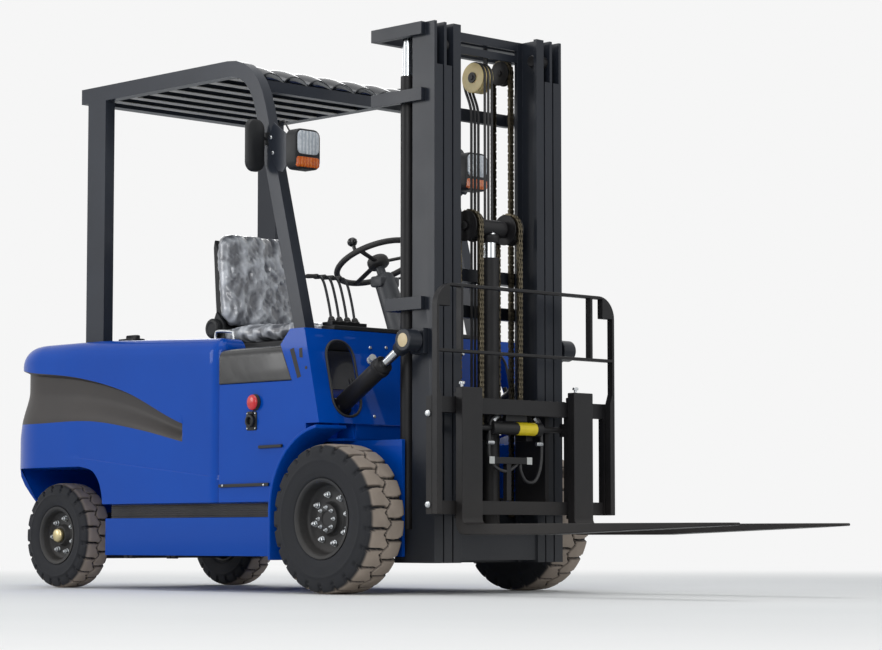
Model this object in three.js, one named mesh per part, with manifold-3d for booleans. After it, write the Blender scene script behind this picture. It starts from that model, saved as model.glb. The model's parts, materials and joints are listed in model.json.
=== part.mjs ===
// Electric counterbalance forklift with a three-stage mast and a side shifter.
// Millimetres. +X points forward (towards the fork tips), +Y to the truck's left, +Z up.
// Pieces are first drawn from the point on the floor under the middle of the front axle.
// At the end the whole truck is moved so that its length is centred on the origin.

import * as THREE from "three";
import { mergeVertices } from "three/addons/utils/BufferGeometryUtils.js";
import Module from "manifold-3d";

const wasm = await Module();
wasm.setup();

// ---------------------------------------------------------------- driving dimensions

const gap = 0.3; // left between pieces that touch
const running = 5; // left between pieces that move past each other
const sides = [-1, 1]; // -1 is the truck's right, +1 its left
const facet = { wheel: 24, bore: 24, bar: 14, small: 8 }; // flats round each kind of round piece
const sideName = (side) => (side < 0 ? "right" : "left");

const wheelbase = 1836;
const bodyHalfWidth = 600;
const sillBottom = 145;
const deckTop = 360; // top of the sill's tread band
const floorTop = 610; // operator's floor
const floorPlate = 10;

const frontWheel = { radius: 292, width: 200, bead: 150, track: 525, dish: 34, hub: 62, hubOut: 62 };
const rearWheel = { radius: 229, width: 150, bead: 118, track: 473, dish: 22, hub: 44, hubOut: 52 };
const rimWall = 9;
const rimLip = 8;

const axleTube = 70; // radius of the drive axle's tubes
const framePlate = { inner: 375, outer: 390, front: 220 };
const kingpin = 358; // distance of each steering pivot from the middle
const steerPocket = 308; // room that a steered wheel sweeps round its pivot

const rearUpper = wheelbase + 407; // how far the counterweight's upper face lies behind the front axle
const rearBumper = wheelbase + 464;
const wingFront = 650; // front edge of the body's wings, behind the front axle
const wingInner = 455;
const archTop = 525;
const bodyTop = 1068;
const massFront = 1320; // front face of the counterweight between its wings

const fender = { centreX: 20, centreZ: 330, radius: 334, wall: 14, front: -28, bottom: 130 };
const cowl = { top: 1045, bottom: 668, topX: -120, bottomX: -30, backTop: -263, backBottom: -112 };
const cowlWall = 10;
const panelTop = 840;
const coverTop = 985;
const hoodTop = 1000;
const hoodFront = 560;
const bulkhead = hoodFront + 9 + running; // plate behind the hood's skirt

const guard = { top: 2193, halfWidth: 514, tubeWide: 50, tubeDeep: 66, rear: 1717, pillarFront: 1542 };
const guardPillar = 126;

const rail = { back: 245, front: 370, web: 14, flange: 17, bottom: 121, top: 2236, notch: 170 };
const outerBand = { inner: 314, outer: 360 };
const middleBand = { inner: 264, outer: 307 };
const innerBand = { inner: 215, outer: 257 };
const liftCylinder = { x: 180, y: 322, barrel: 30, rod: 21, top: 2040 };
const freeLift = { x: 312, barrel: 40, ram: 28, top: 1330, head: 1450, sheave: 62, sheaveY: 110 };
const crossBar = { back: 176, front: 232 };

const barDepth = 24;
const carriageBack = 440;
const lowerBar = [308, 360];
const upperBar = [697, 757];
const frameHalfWidth = 500;
const sideShift = 100; // travel to each side
const shiftCylinder = { z: 646, radius: 28, rod: 12, halfLength: 140 };
const fork = { y: 313, width: 110, thick: 39, top: 795, bladeTop: 272, bladeThick: 42, tipX: 1834 };
const backrest = { back: 500, depth: 30, bar: 12, top: 1190, middle: 925, corner: 90, postY: 365 };

const tilt = { baseX: -95, baseZ: 735, eyeX: 305, eyeZ: 980, y: 435, barrel: 36, rod: 18, pin: 14 };

const column = { footX: -185, footZ: 1040, wheelX: -342, wheelZ: 1364 };
const steeringRing = { radius: 178, tube: 14 };

const blue = { color: 0x0b4fb0, roughness: 0.35, metalness: 0.1 };
const black = { color: 0x2b2e33, roughness: 0.5, metalness: 0.2 };
const plastic = { color: 0x26282b, roughness: 0.6, metalness: 0 };
const steel = { color: 0xc0c4c8, roughness: 0.25, metalness: 1 };
const tyreRubber = { color: 0x2f2b28, roughness: 0.9, metalness: 0 };
const fabric = { color: 0x4a4a4f, roughness: 0.85, metalness: 0 };
const lampWhite = { color: 0xf2f2ee, roughness: 0.3, metalness: 0 };
const stopRed = { color: 0xd8202a, roughness: 0.4, metalness: 0 };
const nylon = { color: 0xd8c9a0, roughness: 0.5, metalness: 0 };

// ---------------------------------------------------------------- shapes and joins

const truck = new THREE.Group();

// One mesh without doubled points or collapsed triangles, with its faces pointing out.
function closed(geometry) {
  const loose = geometry.index ? geometry.toNonIndexed() : geometry.clone();
  loose.deleteAttribute("normal");
  loose.deleteAttribute("uv");
  const merged = mergeVertices(loose, 1e-3);
  const corner = [0, 1, 2].map(() => new THREE.Vector3());
  const kept = [];
  let volume = 0;
  for (let i = 0; i < merged.index.count; i += 3) {
    const triangle = Array.from(merged.index.array.slice(i, i + 3));
    if (new Set(triangle).size < 3) continue;
    triangle.forEach((point, k) => corner[k].fromBufferAttribute(merged.attributes.position, point));
    volume += corner[0].dot(corner[1].clone().cross(corner[2]));
    kept.push(triangle);
  }
  if (volume < 0) kept.forEach((triangle) => triangle.reverse());
  merged.setIndex(kept.flat());
  return merged;
}

function solid(shape) {
  if (shape instanceof wasm.Manifold) return shape;
  const shell = closed(shape);
  const mesh = new wasm.Mesh({
    numProp: 3,
    vertProperties: shell.attributes.position.array,
    triVerts: new Uint32Array(shell.index.array),
  });
  return new wasm.Manifold(mesh);
}

const join = (...shapes) => shapes.map(solid).reduce((whole, next) => whole.add(next));
const cut = (...shapes) => shapes.map(solid).reduce((whole, next) => whole.subtract(next));
const common = (...shapes) => shapes.map(solid).reduce((whole, next) => whole.intersect(next));

function asGeometry(shape) {
  if (!(shape instanceof wasm.Manifold)) return closed(shape);
  const mesh = shape.getMesh();
  const geometry = new THREE.BufferGeometry();
  geometry.setAttribute("position", new THREE.BufferAttribute(mesh.vertProperties, 3));
  geometry.setIndex(new THREE.BufferAttribute(mesh.triVerts, 1));
  return geometry;
}

function piece(name, finish, shape, place = truck) {
  const geometry = asGeometry(shape).toNonIndexed();
  geometry.computeVertexNormals();
  const mesh = new THREE.Mesh(geometry, new THREE.MeshStandardMaterial(finish));
  mesh.name = name;
  place.add(mesh);
  return mesh;
}

function box(x0, x1, y0, y1, z0, z1) {
  const block = new THREE.BoxGeometry(Math.abs(x1 - x0), Math.abs(y1 - y0), Math.abs(z1 - z0));
  return block.translate((x0 + x1) / 2, (y0 + y1) / 2, (z0 + z1) / 2);
}

function extruded(outline, depth) {
  const points = outline instanceof THREE.Shape ? null : outline.map(([u, v]) => new THREE.Vector2(u, v));
  const shape = points ? new THREE.Shape(points) : outline;
  return new THREE.ExtrudeGeometry(shape, { depth, bevelEnabled: false, curveSegments: 5 });
}

// Plates: an outline in one plane, given its thickness along the third axis.
function plateXZ(outline, y0, y1) {
  return extruded(outline, Math.abs(y1 - y0)).rotateX(Math.PI / 2).translate(0, Math.max(y0, y1), 0);
}

function plateYZ(outline, x0, x1) {
  const turn = new THREE.Matrix4();
  turn.makeBasis(new THREE.Vector3(0, 1, 0), new THREE.Vector3(0, 0, 1), new THREE.Vector3(1, 0, 0));
  return extruded(outline, x1 - x0).applyMatrix4(turn).translate(x0, 0, 0);
}

function plateXY(outline, z0, z1) {
  return extruded(outline, z1 - z0).translate(0, 0, z0);
}

function rod(from, to, radius, facets = facet.bar, endRadius = radius) {
  const a = new THREE.Vector3(...from);
  const b = new THREE.Vector3(...to);
  const along = b.clone().sub(a);
  const bar = new THREE.CylinderGeometry(endRadius, radius, along.length(), facets);
  const turn = new THREE.Quaternion().setFromUnitVectors(new THREE.Vector3(0, 1, 0), along.normalize());
  return bar.applyQuaternion(turn).translate(...a.add(b).multiplyScalar(0.5).toArray());
}

// A profile of [radius, distance along the axis] turned round the Y axis.
function turned(profile, facets) {
  return new THREE.LatheGeometry(profile.map(([r, y]) => new THREE.Vector2(r, y)), facets);
}

function roundedRect(u0, u1, v0, v1, r) {
  const shape = new THREE.Shape();
  shape.moveTo(u0 + r, v0);
  shape.lineTo(u1 - r, v0);
  shape.absarc(u1 - r, v0 + r, r, -Math.PI / 2, 0, false);
  shape.lineTo(u1, v1 - r);
  shape.absarc(u1 - r, v1 - r, r, 0, Math.PI / 2, false);
  shape.lineTo(u0 + r, v1);
  shape.absarc(u0 + r, v1 - r, r, Math.PI / 2, Math.PI, false);
  shape.lineTo(u0, v0 + r);
  shape.absarc(u0 + r, v0 + r, r, Math.PI, 1.5 * Math.PI, false);
  return shape;
}

// A strip of even width along a path in a plane.
function band(path, halfWidth, divisions = 6) {
  const points = path.getPoints(divisions).filter((p, i, all) => i === 0 || p.distanceTo(all[i - 1]) > 0.1);
  const offset = (sign) => points.map((point, i) => {
    const before = points[Math.max(i - 1, 0)];
    const after = points[Math.min(i + 1, points.length - 1)];
    const along = after.clone().sub(before).normalize();
    return [point.x - sign * halfWidth * along.y, point.y + sign * halfWidth * along.x];
  });
  return [...offset(1), ...offset(-1).reverse()];
}

// ---------------------------------------------------------------- wheels and axles

function tyreProfile(wheel) {
  const half = wheel.width / 2;
  const seat = half - 16;
  const tread = wheel.radius / Math.cos(Math.PI / facet.wheel); // its flats lie at the tyre's radius
  const rightHalf = [
    [wheel.bead, seat],
    [wheel.bead + rimLip + 3, seat],
    [wheel.radius * 0.8, half],
    [tread - 12, half - 6],
    [tread, half - 22],
  ];
  const leftHalf = rightHalf.map(([r, y]) => [r, -y]).reverse();
  return [...rightHalf, ...leftHalf, rightHalf[0]];
}

function rimProfile(wheel) {
  const half = wheel.width / 2 - 9;
  const seat = wheel.width / 2 - 16 + gap;
  const barrel = wheel.bead - gap;
  const lip = wheel.bead + rimLip;
  return [
    [0, wheel.dish - 14],
    [barrel - rimWall, wheel.dish - 14],
    [barrel - rimWall, -half],
    [barrel, -half],
    [barrel, seat],
    [lip, seat],
    [lip, half],
    [barrel - rimWall, half],
    [barrel - rimWall, wheel.dish],
    [wheel.hub, wheel.dish],
    [wheel.hub - 6, wheel.hubOut],
    [0, wheel.hubOut],
  ];
}

function wheelPair(end, wheel, x) {
  const round = (profile) => turned(profile, facet.wheel).rotateY(Math.PI / facet.wheel);
  for (const side of sides) {
    const place = new THREE.Group();
    place.position.set(x, side * wheel.track, wheel.radius);
    place.rotation.x = side < 0 ? Math.PI : 0;
    piece(`${end}_tyre_${sideName(side)}`, tyreRubber, round(tyreProfile(wheel)), place);
    piece(`${end}_rim_${sideName(side)}`, black, round(rimProfile(wheel)), place);
    truck.add(place);
  }
}

const innerDisc = (wheel) => wheel.track + wheel.dish - 14 - gap; // where a hub meets its rim

wheelPair("front", frontWheel, 0);
wheelPair("rear", rearWheel, -wheelbase);

function driveAxle() {
  const z = frontWheel.radius;
  const reach = innerDisc(frontWheel);
  const tube = rod([0, -reach, z], [0, reach, z], axleTube, facet.bore);
  const gearCase = rod([0, -120, z], [0, 120, z], 150, 20);
  const motor = rod([-300, 0, z], [0, 0, z], 110, 20);
  const hubs = sides.map((side) => rod([0, side * (framePlate.outer + 12), z], [0, side * reach, z], 100, 20));
  return join(tube, gearCase, motor, ...hubs);
}
piece("drive_axle", black, driveAxle());

const steerAxleZ = rearWheel.radius;
const knuckleHalf = 84;
const yokeHalf = 26;

function steerAxle() {
  const x = -wheelbase;
  const plan = [];
  for (const side of sides) {
    plan.push([x + side * 28, -side * (kingpin + 22)], [x + side * 28, -side * (kingpin - 70)]);
    plan.push([x + side * 64, -side * 190], [x + side * 64, side * 190]);
    plan.push([x + side * 28, side * (kingpin - 70)], [x + side * 28, side * (kingpin + 22)]);
  }
  const beam = plateXY(plan, steerAxleZ - knuckleHalf - 18, steerAxleZ + knuckleHalf + 18);
  const jaws = sides.map((side) => box(x - 80, x + 80, side * (kingpin - yokeHalf - 14), side * 460,
    steerAxleZ - knuckleHalf, steerAxleZ + knuckleHalf));
  const trunnion = rod([x - 128, 0, steerAxleZ + 20], [x + 128, 0, steerAxleZ + 20], 38, facet.bar);
  return join(cut(beam, ...jaws), trunnion);
}
piece("steer_axle", black, steerAxle());

for (const side of sides) {
  const post = rod([0, 0, -knuckleHalf + gap], [0, 0, knuckleHalf - gap], yokeHalf);
  const spindle = rod([0, 0, 0], [0, side * (innerDisc(rearWheel) - kingpin), 0], 30);
  const knuckle = piece(`knuckle_${sideName(side)}`, black, join(post, spindle));
  knuckle.position.set(-wheelbase, side * kingpin, steerAxleZ);
}

// ---------------------------------------------------------------- chassis and body

const cowlSlope = (cowl.bottomX - cowl.topX) / (cowl.top - cowl.bottom);

// The fender's outer line: up the rear leg, then round over the wheel to its front edge.
function fenderLine(radius, front) {
  const start = Math.PI;
  const end = Math.acos((front - fender.centreX) / radius);
  const points = [[fender.centreX - radius, fender.bottom]];
  const steps = 14;
  for (let i = 0; i <= steps; i += 1) {
    const angle = start + ((end - start) * i) / steps;
    points.push([fender.centreX + radius * Math.cos(angle), fender.centreZ + radius * Math.sin(angle)]);
  }
  return points;
}

// Everything under and in front of the fender's line, grown by a clearance.
function underFender(clearance, y0, y1) {
  const line = fenderLine(fender.radius + clearance, fender.front);
  const lastZ = line[line.length - 1][1];
  const outline = [[500, 0], [line[0][0], 0], ...line, [500, lastZ]];
  return plateXZ(outline, y0, y1);
}

function chassisFrame() {
  const back = massFront + 80;
  const front = fender.radius - fender.centreX + gap;
  const parts = [
    box(-back, -front, -bodyHalfWidth, bodyHalfWidth, sillBottom, deckTop - 60),
    box(-back, -front, -bodyHalfWidth + 35, bodyHalfWidth - 35, deckTop - 61, deckTop),
    box(-bulkhead - 6, -bulkhead, -wingInner + 3, wingInner - 3, deckTop - 1, panelTop),
    box(-bulkhead - 1, -50, -wingInner + 3, wingInner - 3, floorTop - floorPlate, floorTop),
    box(-56, -48, -framePlate.outer, framePlate.outer, floorTop - 1, cowl.bottom - 1),
  ];
  for (const side of sides) {
    const plate = box(-bulkhead - 1, framePlate.front, side * framePlate.inner, side * framePlate.outer,
      sillBottom, floorTop - floorPlate + 1);
    const saddle = rod([0, -bodyHalfWidth, frontWheel.radius], [0, bodyHalfWidth, frontWheel.radius], axleTube + gap, facet.bore);
    const mouth = box(-axleTube - gap, axleTube + gap, -bodyHalfWidth, bodyHalfWidth, 0, frontWheel.radius);
    parts.push(cut(plate, saddle, mouth));
    parts.push(plateXZ([[tilt.baseX - 60, floorTop - 1], [tilt.baseX - 24, tilt.baseZ + 34],
      [tilt.baseX + 24, tilt.baseZ + 34], [tilt.baseX + 40, floorTop - 1]], side * 384, side * 396));
    parts.push(rod([tilt.baseX, side * 386, tilt.baseZ], [tilt.baseX, side * 474, tilt.baseZ], tilt.pin));
  }
  return join(...parts);
}
piece("chassis_frame", blue, chassisFrame());

function counterweight() {
  const low = deckTop + gap;
  const wheelFront = -wheelbase + steerPocket;
  const outline = new THREE.Shape();
  outline.moveTo(-wingFront, low);
  outline.lineTo(-wingFront, bodyTop - 60);
  outline.quadraticCurveTo(-wingFront, bodyTop - 33, -wingFront - 30, bodyTop - 32);
  outline.lineTo(-massFront - 200, bodyTop);
  outline.lineTo(-rearUpper + 110, bodyTop);
  outline.quadraticCurveTo(-rearUpper, bodyTop, -rearUpper, bodyTop - 110);
  outline.lineTo(-rearUpper, 760);
  outline.quadraticCurveTo(-rearUpper - 4, 700, -rearBumper, 660);
  outline.lineTo(-rearBumper, 500);
  outline.quadraticCurveTo(-rearBumper + 10, 420, -wheelbase - 344, 297);
  outline.lineTo(-wheelbase - steerPocket, 297);
  outline.lineTo(-wheelbase - steerPocket, archTop);
  outline.lineTo(wheelFront - 60, archTop);
  outline.quadraticCurveTo(wheelFront + 70, archTop, wheelFront + 100, low + 40);
  outline.lineTo(wheelFront + 104, low);
  const plan = new THREE.Shape();
  const corner = 400;
  plan.moveTo(-wingFront, wingInner);
  plan.lineTo(-wingFront, bodyHalfWidth - 40);
  plan.absarc(-wingFront - 40, bodyHalfWidth - 40, 40, 0, Math.PI / 2, false);
  plan.lineTo(-rearBumper + corner, bodyHalfWidth);
  plan.absarc(-rearBumper + corner, bodyHalfWidth - corner, corner, Math.PI / 2, Math.PI, false);
  plan.lineTo(-rearBumper, -bodyHalfWidth + corner);
  plan.absarc(-rearBumper + corner, -bodyHalfWidth + corner, corner, Math.PI, 1.5 * Math.PI, false);
  plan.lineTo(-wingFront - 40, -bodyHalfWidth);
  plan.absarc(-wingFront - 40, -bodyHalfWidth + 40, 40, -Math.PI / 2, 0, false);
  plan.lineTo(-wingFront, -wingInner);
  plan.lineTo(-massFront, -wingInner);
  plan.lineTo(-massFront, wingInner);
  const section = roundedRect(-bodyHalfWidth, bodyHalfWidth, 100, bodyTop, 70);
  const bulk = common(
    plateXZ(outline, -bodyHalfWidth, bodyHalfWidth),
    plateXY(plan, 0, bodyTop + 10),
    plateYZ(section, -rearBumper - 10, -wingFront + 10),
  );
  const hangers = [-1, 1].map((end) => {
    const x = -wheelbase + end * 134;
    return box(x - 16, x + 16, -58, 58, steerAxleZ - 30, archTop + 1);
  });
  const socket = rod([-wheelbase - 160, 0, steerAxleZ + 20], [-wheelbase + 160, 0, steerAxleZ + 20], 38 + gap, facet.bar);
  return cut(join(bulk, ...hangers), socket);
}
piece("counterweight", blue, counterweight());

piece("battery_block", plastic,
  box(-massFront + 40, -bulkhead - 6 - running, -wingInner + 12, wingInner - 12, deckTop + gap, hoodTop - 100));

// A side panel fills the space between wing, sill, fender and cowl.
function sidePanel(side, top) {
  const foot = deckTop + gap;
  const slope = (cowl.backBottom - cowl.backTop) / (coverTop - cowl.bottom);
  const edgeAt = (z) => cowl.backTop - 1 + (coverTop - z) * slope;
  const outline = [[-wingFront + 2, foot], [-wingFront + 2, top], [edgeAt(top), top]];
  const meetsFender = Math.max(foot, cowl.bottom);
  if (top > meetsFender) outline.push([edgeAt(meetsFender), meetsFender]);
  outline.push([edgeAt(meetsFender), foot]);
  const block = plateXZ(outline, side * wingInner, side * (bodyHalfWidth - 3));
  const lower = underFender(gap, side * (wingInner - 10), side * (bodyHalfWidth + 30));
  return cut(block, lower);
}
piece("side_panel_right", blue, sidePanel(-1, panelTop));
piece("side_panel_left", blue, sidePanel(1, floorTop));

function sideCover() {
  const slope = (cowl.backBottom - cowl.backTop) / (coverTop - cowl.bottom);
  const low = panelTop + gap;
  const outline = [[-wingFront + 2, low], [-wingFront + 2, coverTop], [cowl.backTop - 1, coverTop],
    [cowl.backTop - 1 + (coverTop - low) * slope, low]];
  const section = roundedRect(-bodyHalfWidth, -wingInner, low - 60, coverTop, 40);
  return common(plateXZ(outline, -bodyHalfWidth, -wingInner), plateYZ(section, -wingFront, 0));
}
piece("side_cover_right", plastic, sideCover());

for (const side of sides) {
  const outer = fenderLine(fender.radius, fender.front);
  const inner = fenderLine(fender.radius - fender.wall, fender.front).reverse();
  const shell = plateXZ([...outer, ...inner], side * (wingInner + gap), side * 620);
  piece(`fender_${sideName(side)}`, blue, shell);
}

function frontCowl() {
  const slot = (side) => {
    const hole = roundedRect(side * tilt.y - 75, side * tilt.y + 75, 696, 1000, 70);
    return plateYZ(hole, cowl.topX - 80, cowl.bottomX + 60);
  };
  const front = plateXZ([[cowl.bottomX, cowl.bottom], [cowl.topX, cowl.top],
    [cowl.topX - cowlWall, cowl.top], [cowl.bottomX - cowlWall, cowl.bottom]], -bodyHalfWidth, bodyHalfWidth);
  const strip = [[cowl.bottomX, cowl.bottom], [cowl.topX, cowl.top], [cowl.backTop + 58, cowl.top],
    [cowl.backTop, coverTop], [cowl.backBottom, cowl.bottom]];
  const strips = sides.map((side) => plateXZ(strip, side * (bodyHalfWidth - cowlWall), side * bodyHalfWidth));
  const lid = box(cowl.backTop + 60, cowl.topX - 2, -bodyHalfWidth, bodyHalfWidth, cowl.top - cowlWall, cowl.top);
  return join(cut(front, slot(-1), slot(1)), lid, ...strips);
}
piece("front_cowl", blue, frontCowl());

piece("dash_panel", plastic, box(cowl.backTop + 62, cowl.topX - 4, -440, 440, cowl.top + gap, cowl.top + 20));

function hood() {
  const halfWidth = wingInner - 7;
  const top = plateYZ(roundedRect(-halfWidth, halfWidth, hoodTop - 95, hoodTop, 30), -massFront + 30, -hoodFront);
  const skirt = box(-hoodFront - 9, -hoodFront, -halfWidth, halfWidth, panelTop, hoodTop - 60);
  const hinge = rod([-massFront + 12, -halfWidth + 60, hoodTop], [-massFront + 12, halfWidth - 60, hoodTop], 11.5);
  const leaf = box(-massFront + 12, -massFront + 40, -halfWidth + 60, halfWidth - 60, hoodTop - 8, hoodTop);
  return join(top, skirt, hinge, leaf);
}
piece("hood", plastic, hood());

// ---------------------------------------------------------------- operator's place

const seat = { front: -563, rear: -1130, halfWidth: 240, bottom: 1042, top: 1128, backTop: 1530 };

piece("seat_base", plastic, box(seat.rear + 60, seat.front - 60, -190, 190, hoodTop + gap, seat.bottom - gap));
piece("seat_cushion", fabric, plateXZ(
  roundedRect(seat.rear + 30, seat.front, seat.bottom, seat.top, 34), -seat.halfWidth, seat.halfWidth));
piece("seat_back", fabric, plateXZ([[seat.rear + 10, seat.top + gap], [seat.rear + 130, seat.top + gap],
  [seat.rear + 70, seat.backTop - 20], [seat.rear + 45, seat.backTop], [seat.rear - 15, seat.backTop],
  [seat.rear - 35, seat.backTop - 30]], -seat.halfWidth + 8, seat.halfWidth - 8));

function columnPoint(distanceBelowWheel) {
  const along = new THREE.Vector2(column.wheelX - column.footX, column.wheelZ - column.footZ).normalize();
  return [column.wheelX - along.x * distanceBelowWheel, 0, column.wheelZ - along.y * distanceBelowWheel];
}

function steeringColumn() {
  const housing = rod([column.footX, 0, column.footZ], columnPoint(70), 62, 16, 44);
  const below = box(-400, 0, -200, 200, 900, cowl.top + 20 + gap);
  const lever = rod(columnPoint(90), [columnPoint(90)[0] + 20, 210, columnPoint(90)[2] + 40], 7, facet.small);
  return cut(join(housing, rod(columnPoint(90), columnPoint(26 + gap), 20), lever), below);
}
piece("steering_column", plastic, steeringColumn());

function steeringWheel() {
  const ring = [];
  for (let i = 0; i <= 6; i += 1) {
    const angle = (i / 6) * 2 * Math.PI;
    ring.push([steeringRing.radius + steeringRing.tube * Math.cos(angle), steeringRing.tube * Math.sin(angle)]);
  }
  const spokes = [90, 210, 330].map((degrees) => {
    const angle = THREE.MathUtils.degToRad(degrees);
    const reach = steeringRing.radius;
    return rod([0, -8, 0], [reach * Math.cos(angle), -4, reach * Math.sin(angle)], 15, 6);
  });
  const hub = rod([0, -26 + gap, 0], [0, 22, 0], 46);
  const knobAngle = THREE.MathUtils.degToRad(98);
  const knobX = steeringRing.radius * Math.cos(knobAngle);
  const knobY = steeringRing.radius * Math.sin(knobAngle);
  const knob = join(rod([knobX, 0, knobY], [knobX, 44, knobY], 9, 6), rod([knobX, 36, knobY], [knobX, 66, knobY], 21, 10));
  return join(turned(ring, 26), hub, knob, ...spokes);
}
const wheelMesh = piece("steering_wheel", plastic, steeringWheel());
wheelMesh.position.set(column.wheelX, 0, column.wheelZ);
wheelMesh.quaternion.setFromUnitVectors(
  new THREE.Vector3(0, 1, 0),
  new THREE.Vector3(column.wheelX - column.footX, 0, column.wheelZ - column.footZ).normalize(),
);

function controlLevers() {
  const footZ = cowl.top + 20 + gap;
  const base = box(-196, -134, -440, -250, footZ, footZ + 14);
  const levers = [0, 1, 2, 3].map((i) => {
    const y = -290 - 42 * i;
    const stem = rod([-160, y, footZ + 5], [-222, y, 1268], 6, 6);
    const grip = rod([-214, y, 1268], [-322, y, 1274], 10, facet.small);
    return join(stem, grip);
  });
  return join(base, ...levers);
}
piece("control_levers", plastic, controlLevers());

// ---------------------------------------------------------------- overhead guard

const roofMiddle = guard.top - guard.tubeDeep / 2;
const pillarFoot = [-243, cowl.top + gap];
const pillarHead = [-475, 1900];

function guardSide(side) {
  const lean = (pillarHead[0] - pillarFoot[0]) / (pillarHead[1] - pillarFoot[1]);
  const cornerX = pillarHead[0] + (roofMiddle - pillarHead[1]) * lean;
  const path = new THREE.Path();
  path.moveTo(-guard.rear, roofMiddle);
  path.lineTo(cornerX - 165, roofMiddle);
  path.quadraticCurveTo(cornerX, roofMiddle, pillarHead[0] - 70 * lean * -1, pillarHead[1] + 70);
  path.lineTo(pillarFoot[0] - 30 * lean, pillarFoot[1] - 30);
  const inner = side * (guard.halfWidth - guard.tubeWide);
  const rail = plateXZ(band(path, guard.tubeDeep / 2), inner, side * guard.halfWidth);
  const below = box(-400, 0, -bodyHalfWidth, bodyHalfWidth, 900, pillarFoot[1]);
  const rearPillar = box(-guard.pillarFront - guardPillar, -guard.pillarFront, inner, side * guard.halfWidth,
    bodyTop + gap, roofMiddle);
  return join(cut(rail, below), rearPillar);
}

function overheadGuard() {
  const inner = guard.halfWidth - guard.tubeWide + 1;
  const rearBeam = box(-guard.rear, -guard.rear + 60, -inner, inner, guard.top - guard.tubeDeep, guard.top);
  const frontBeam = box(-556, -516, -inner, inner, 2050, 2096);
  const bars = [];
  for (let x = -1560; x < -720; x += 135) {
    bars.push(box(x, x + 28, -inner, inner, roofMiddle - 30, roofMiddle - 12));
  }
  return join(guardSide(-1), guardSide(1), rearBeam, frontBeam, ...bars);
}
piece("overhead_guard", black, overheadGuard());

function roofPanel() {
  const height = roofMiddle - 12 + gap + 4;
  const path = new THREE.Path();
  path.moveTo(-guard.rear + 70, height);
  path.lineTo(-700, height);
  path.quadraticCurveTo(-600, height, -566, height - 40);
  const inner = guard.halfWidth - guard.tubeWide - 1;
  return plateXZ(band(path, 4, 5), -inner, inner);
}
piece("roof_panel", plastic, roofPanel());

for (const side of sides) {
  const armIn = side * (guard.halfWidth + gap);
  const armOut = side * (guard.halfWidth + 8);
  const lamp = plateYZ(roundedRect(side * 480 - 67, side * 480 + 67, 1696, 1860, 22), -300, -238);
  const lampArm = box(-452, -290, armIn, armOut, 1756, 1796);
  piece(`headlamp_${sideName(side)}`, lampWhite, join(lamp, lampArm));
  const glass = plateYZ(roundedRect(side * 574 - 46, side * 574 + 46, 1700, 1915, 30), -470, -444);
  const mirrorArm = box(-470, -444, armIn, side * 560, 1832, 1848);
  piece(`mirror_${sideName(side)}`, plastic, join(glass, mirrorArm));
}

const stopButton = turned([[0, 0], [13, 0], [13, 9], [24, 11], [24, 19], [16, 24], [0, 25]], 18);
const stopMesh = piece("emergency_stop", stopRed, stopButton);
stopMesh.position.set(-420, -(bodyHalfWidth - 3 + gap), 762);
stopMesh.rotation.x = Math.PI;

// ---------------------------------------------------------------- mast

function channel(side, railBand) {
  const { inner, outer } = railBand;
  const web = outer - rail.web;
  return [
    [rail.back, outer], [rail.front, outer], [rail.front, inner], [rail.front - rail.flange, inner],
    [rail.front - rail.flange, web], [rail.back + rail.flange, web], [rail.back + rail.flange, inner],
    [rail.back, inner],
  ].map(([x, y]) => [x, side * y]);
}

function mastRail(side, railBand, notched) {
  const upright = plateXY(channel(side, railBand), rail.bottom, rail.top);
  if (!notched) return solid(upright);
  const window = box(rail.front - rail.flange - 1, rail.front + 1, side * (railBand.inner - 1),
    side * (railBand.outer - rail.web), rail.top - rail.notch, rail.top + 1);
  return cut(upright, window);
}

const rollerX = (rail.back + rail.front) / 2;
const rollerRadius = (rail.front - rail.back) / 2 - rail.flange - gap;
const roller = (side, y0, y1, z) => rod([rollerX, side * y0, z], [rollerX, side * y1, z], rollerRadius, 16);
const lowerRollerZ = 330;

// A bracket that runs back from both outer rails and across behind the mast.
function mastBow(back, depth, z0, z1) {
  const arms = sides.map((side) => box(back, rail.front - 50, side * (outerBand.outer - 2), side * 384, z0, z1));
  return join(box(back, back + depth, -384, 384, z0, z1), ...arms);
}

// The tilt bearing turns on the axle's tube, so its flats stay outside the tube's corners.
const pivotBore = (axleTube + gap) / Math.cos(Math.PI / facet.bore);
const footTop = frontWheel.radius - 42; // top of the mast's foot plates, which pass under the gear case

function outerMast() {
  const parts = [
    mastBow(30, 30, rail.top - 50, rail.top),
    mastBow(30, 30, 1925, 1975),
    mastBow(112, 34, 1105, 1155),
    box(146, rail.back - 8, -outerBand.outer, outerBand.outer, rail.bottom, footTop),
  ];
  for (const side of sides) {
    parts.push(mastRail(side, outerBand, true));
    parts.push(box(rail.back - 9, rail.back + 1, side * (outerBand.inner + 2), side * outerBand.outer,
      rail.bottom, footTop));
    const axleZ = frontWheel.radius;
    const bracket = [[rail.back - 2, 190], [rail.back - 2, footTop - 1], [140, footTop - 1], [60, axleZ + 88], [-40, axleZ + 96],
      [-104, axleZ + 30], [-104, axleZ - 50], [-40, axleZ - 96], [60, axleZ - 88]];
    const bore = rod([0, side * 300, frontWheel.radius], [0, side * 360, frontWheel.radius], pivotBore, facet.bore);
    parts.push(cut(plateXZ(bracket, side * 318, side * 346), bore));
    parts.push(plateXZ([[rail.back + 20, 930], [rail.back + 20, 1030], [tilt.eyeX + 30, 1030],
      [tilt.eyeX + 30, 930]], side * (outerBand.outer - 2), side * 386));
  }
  return join(...parts);
}
piece("outer_mast", black, outerMast());

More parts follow.
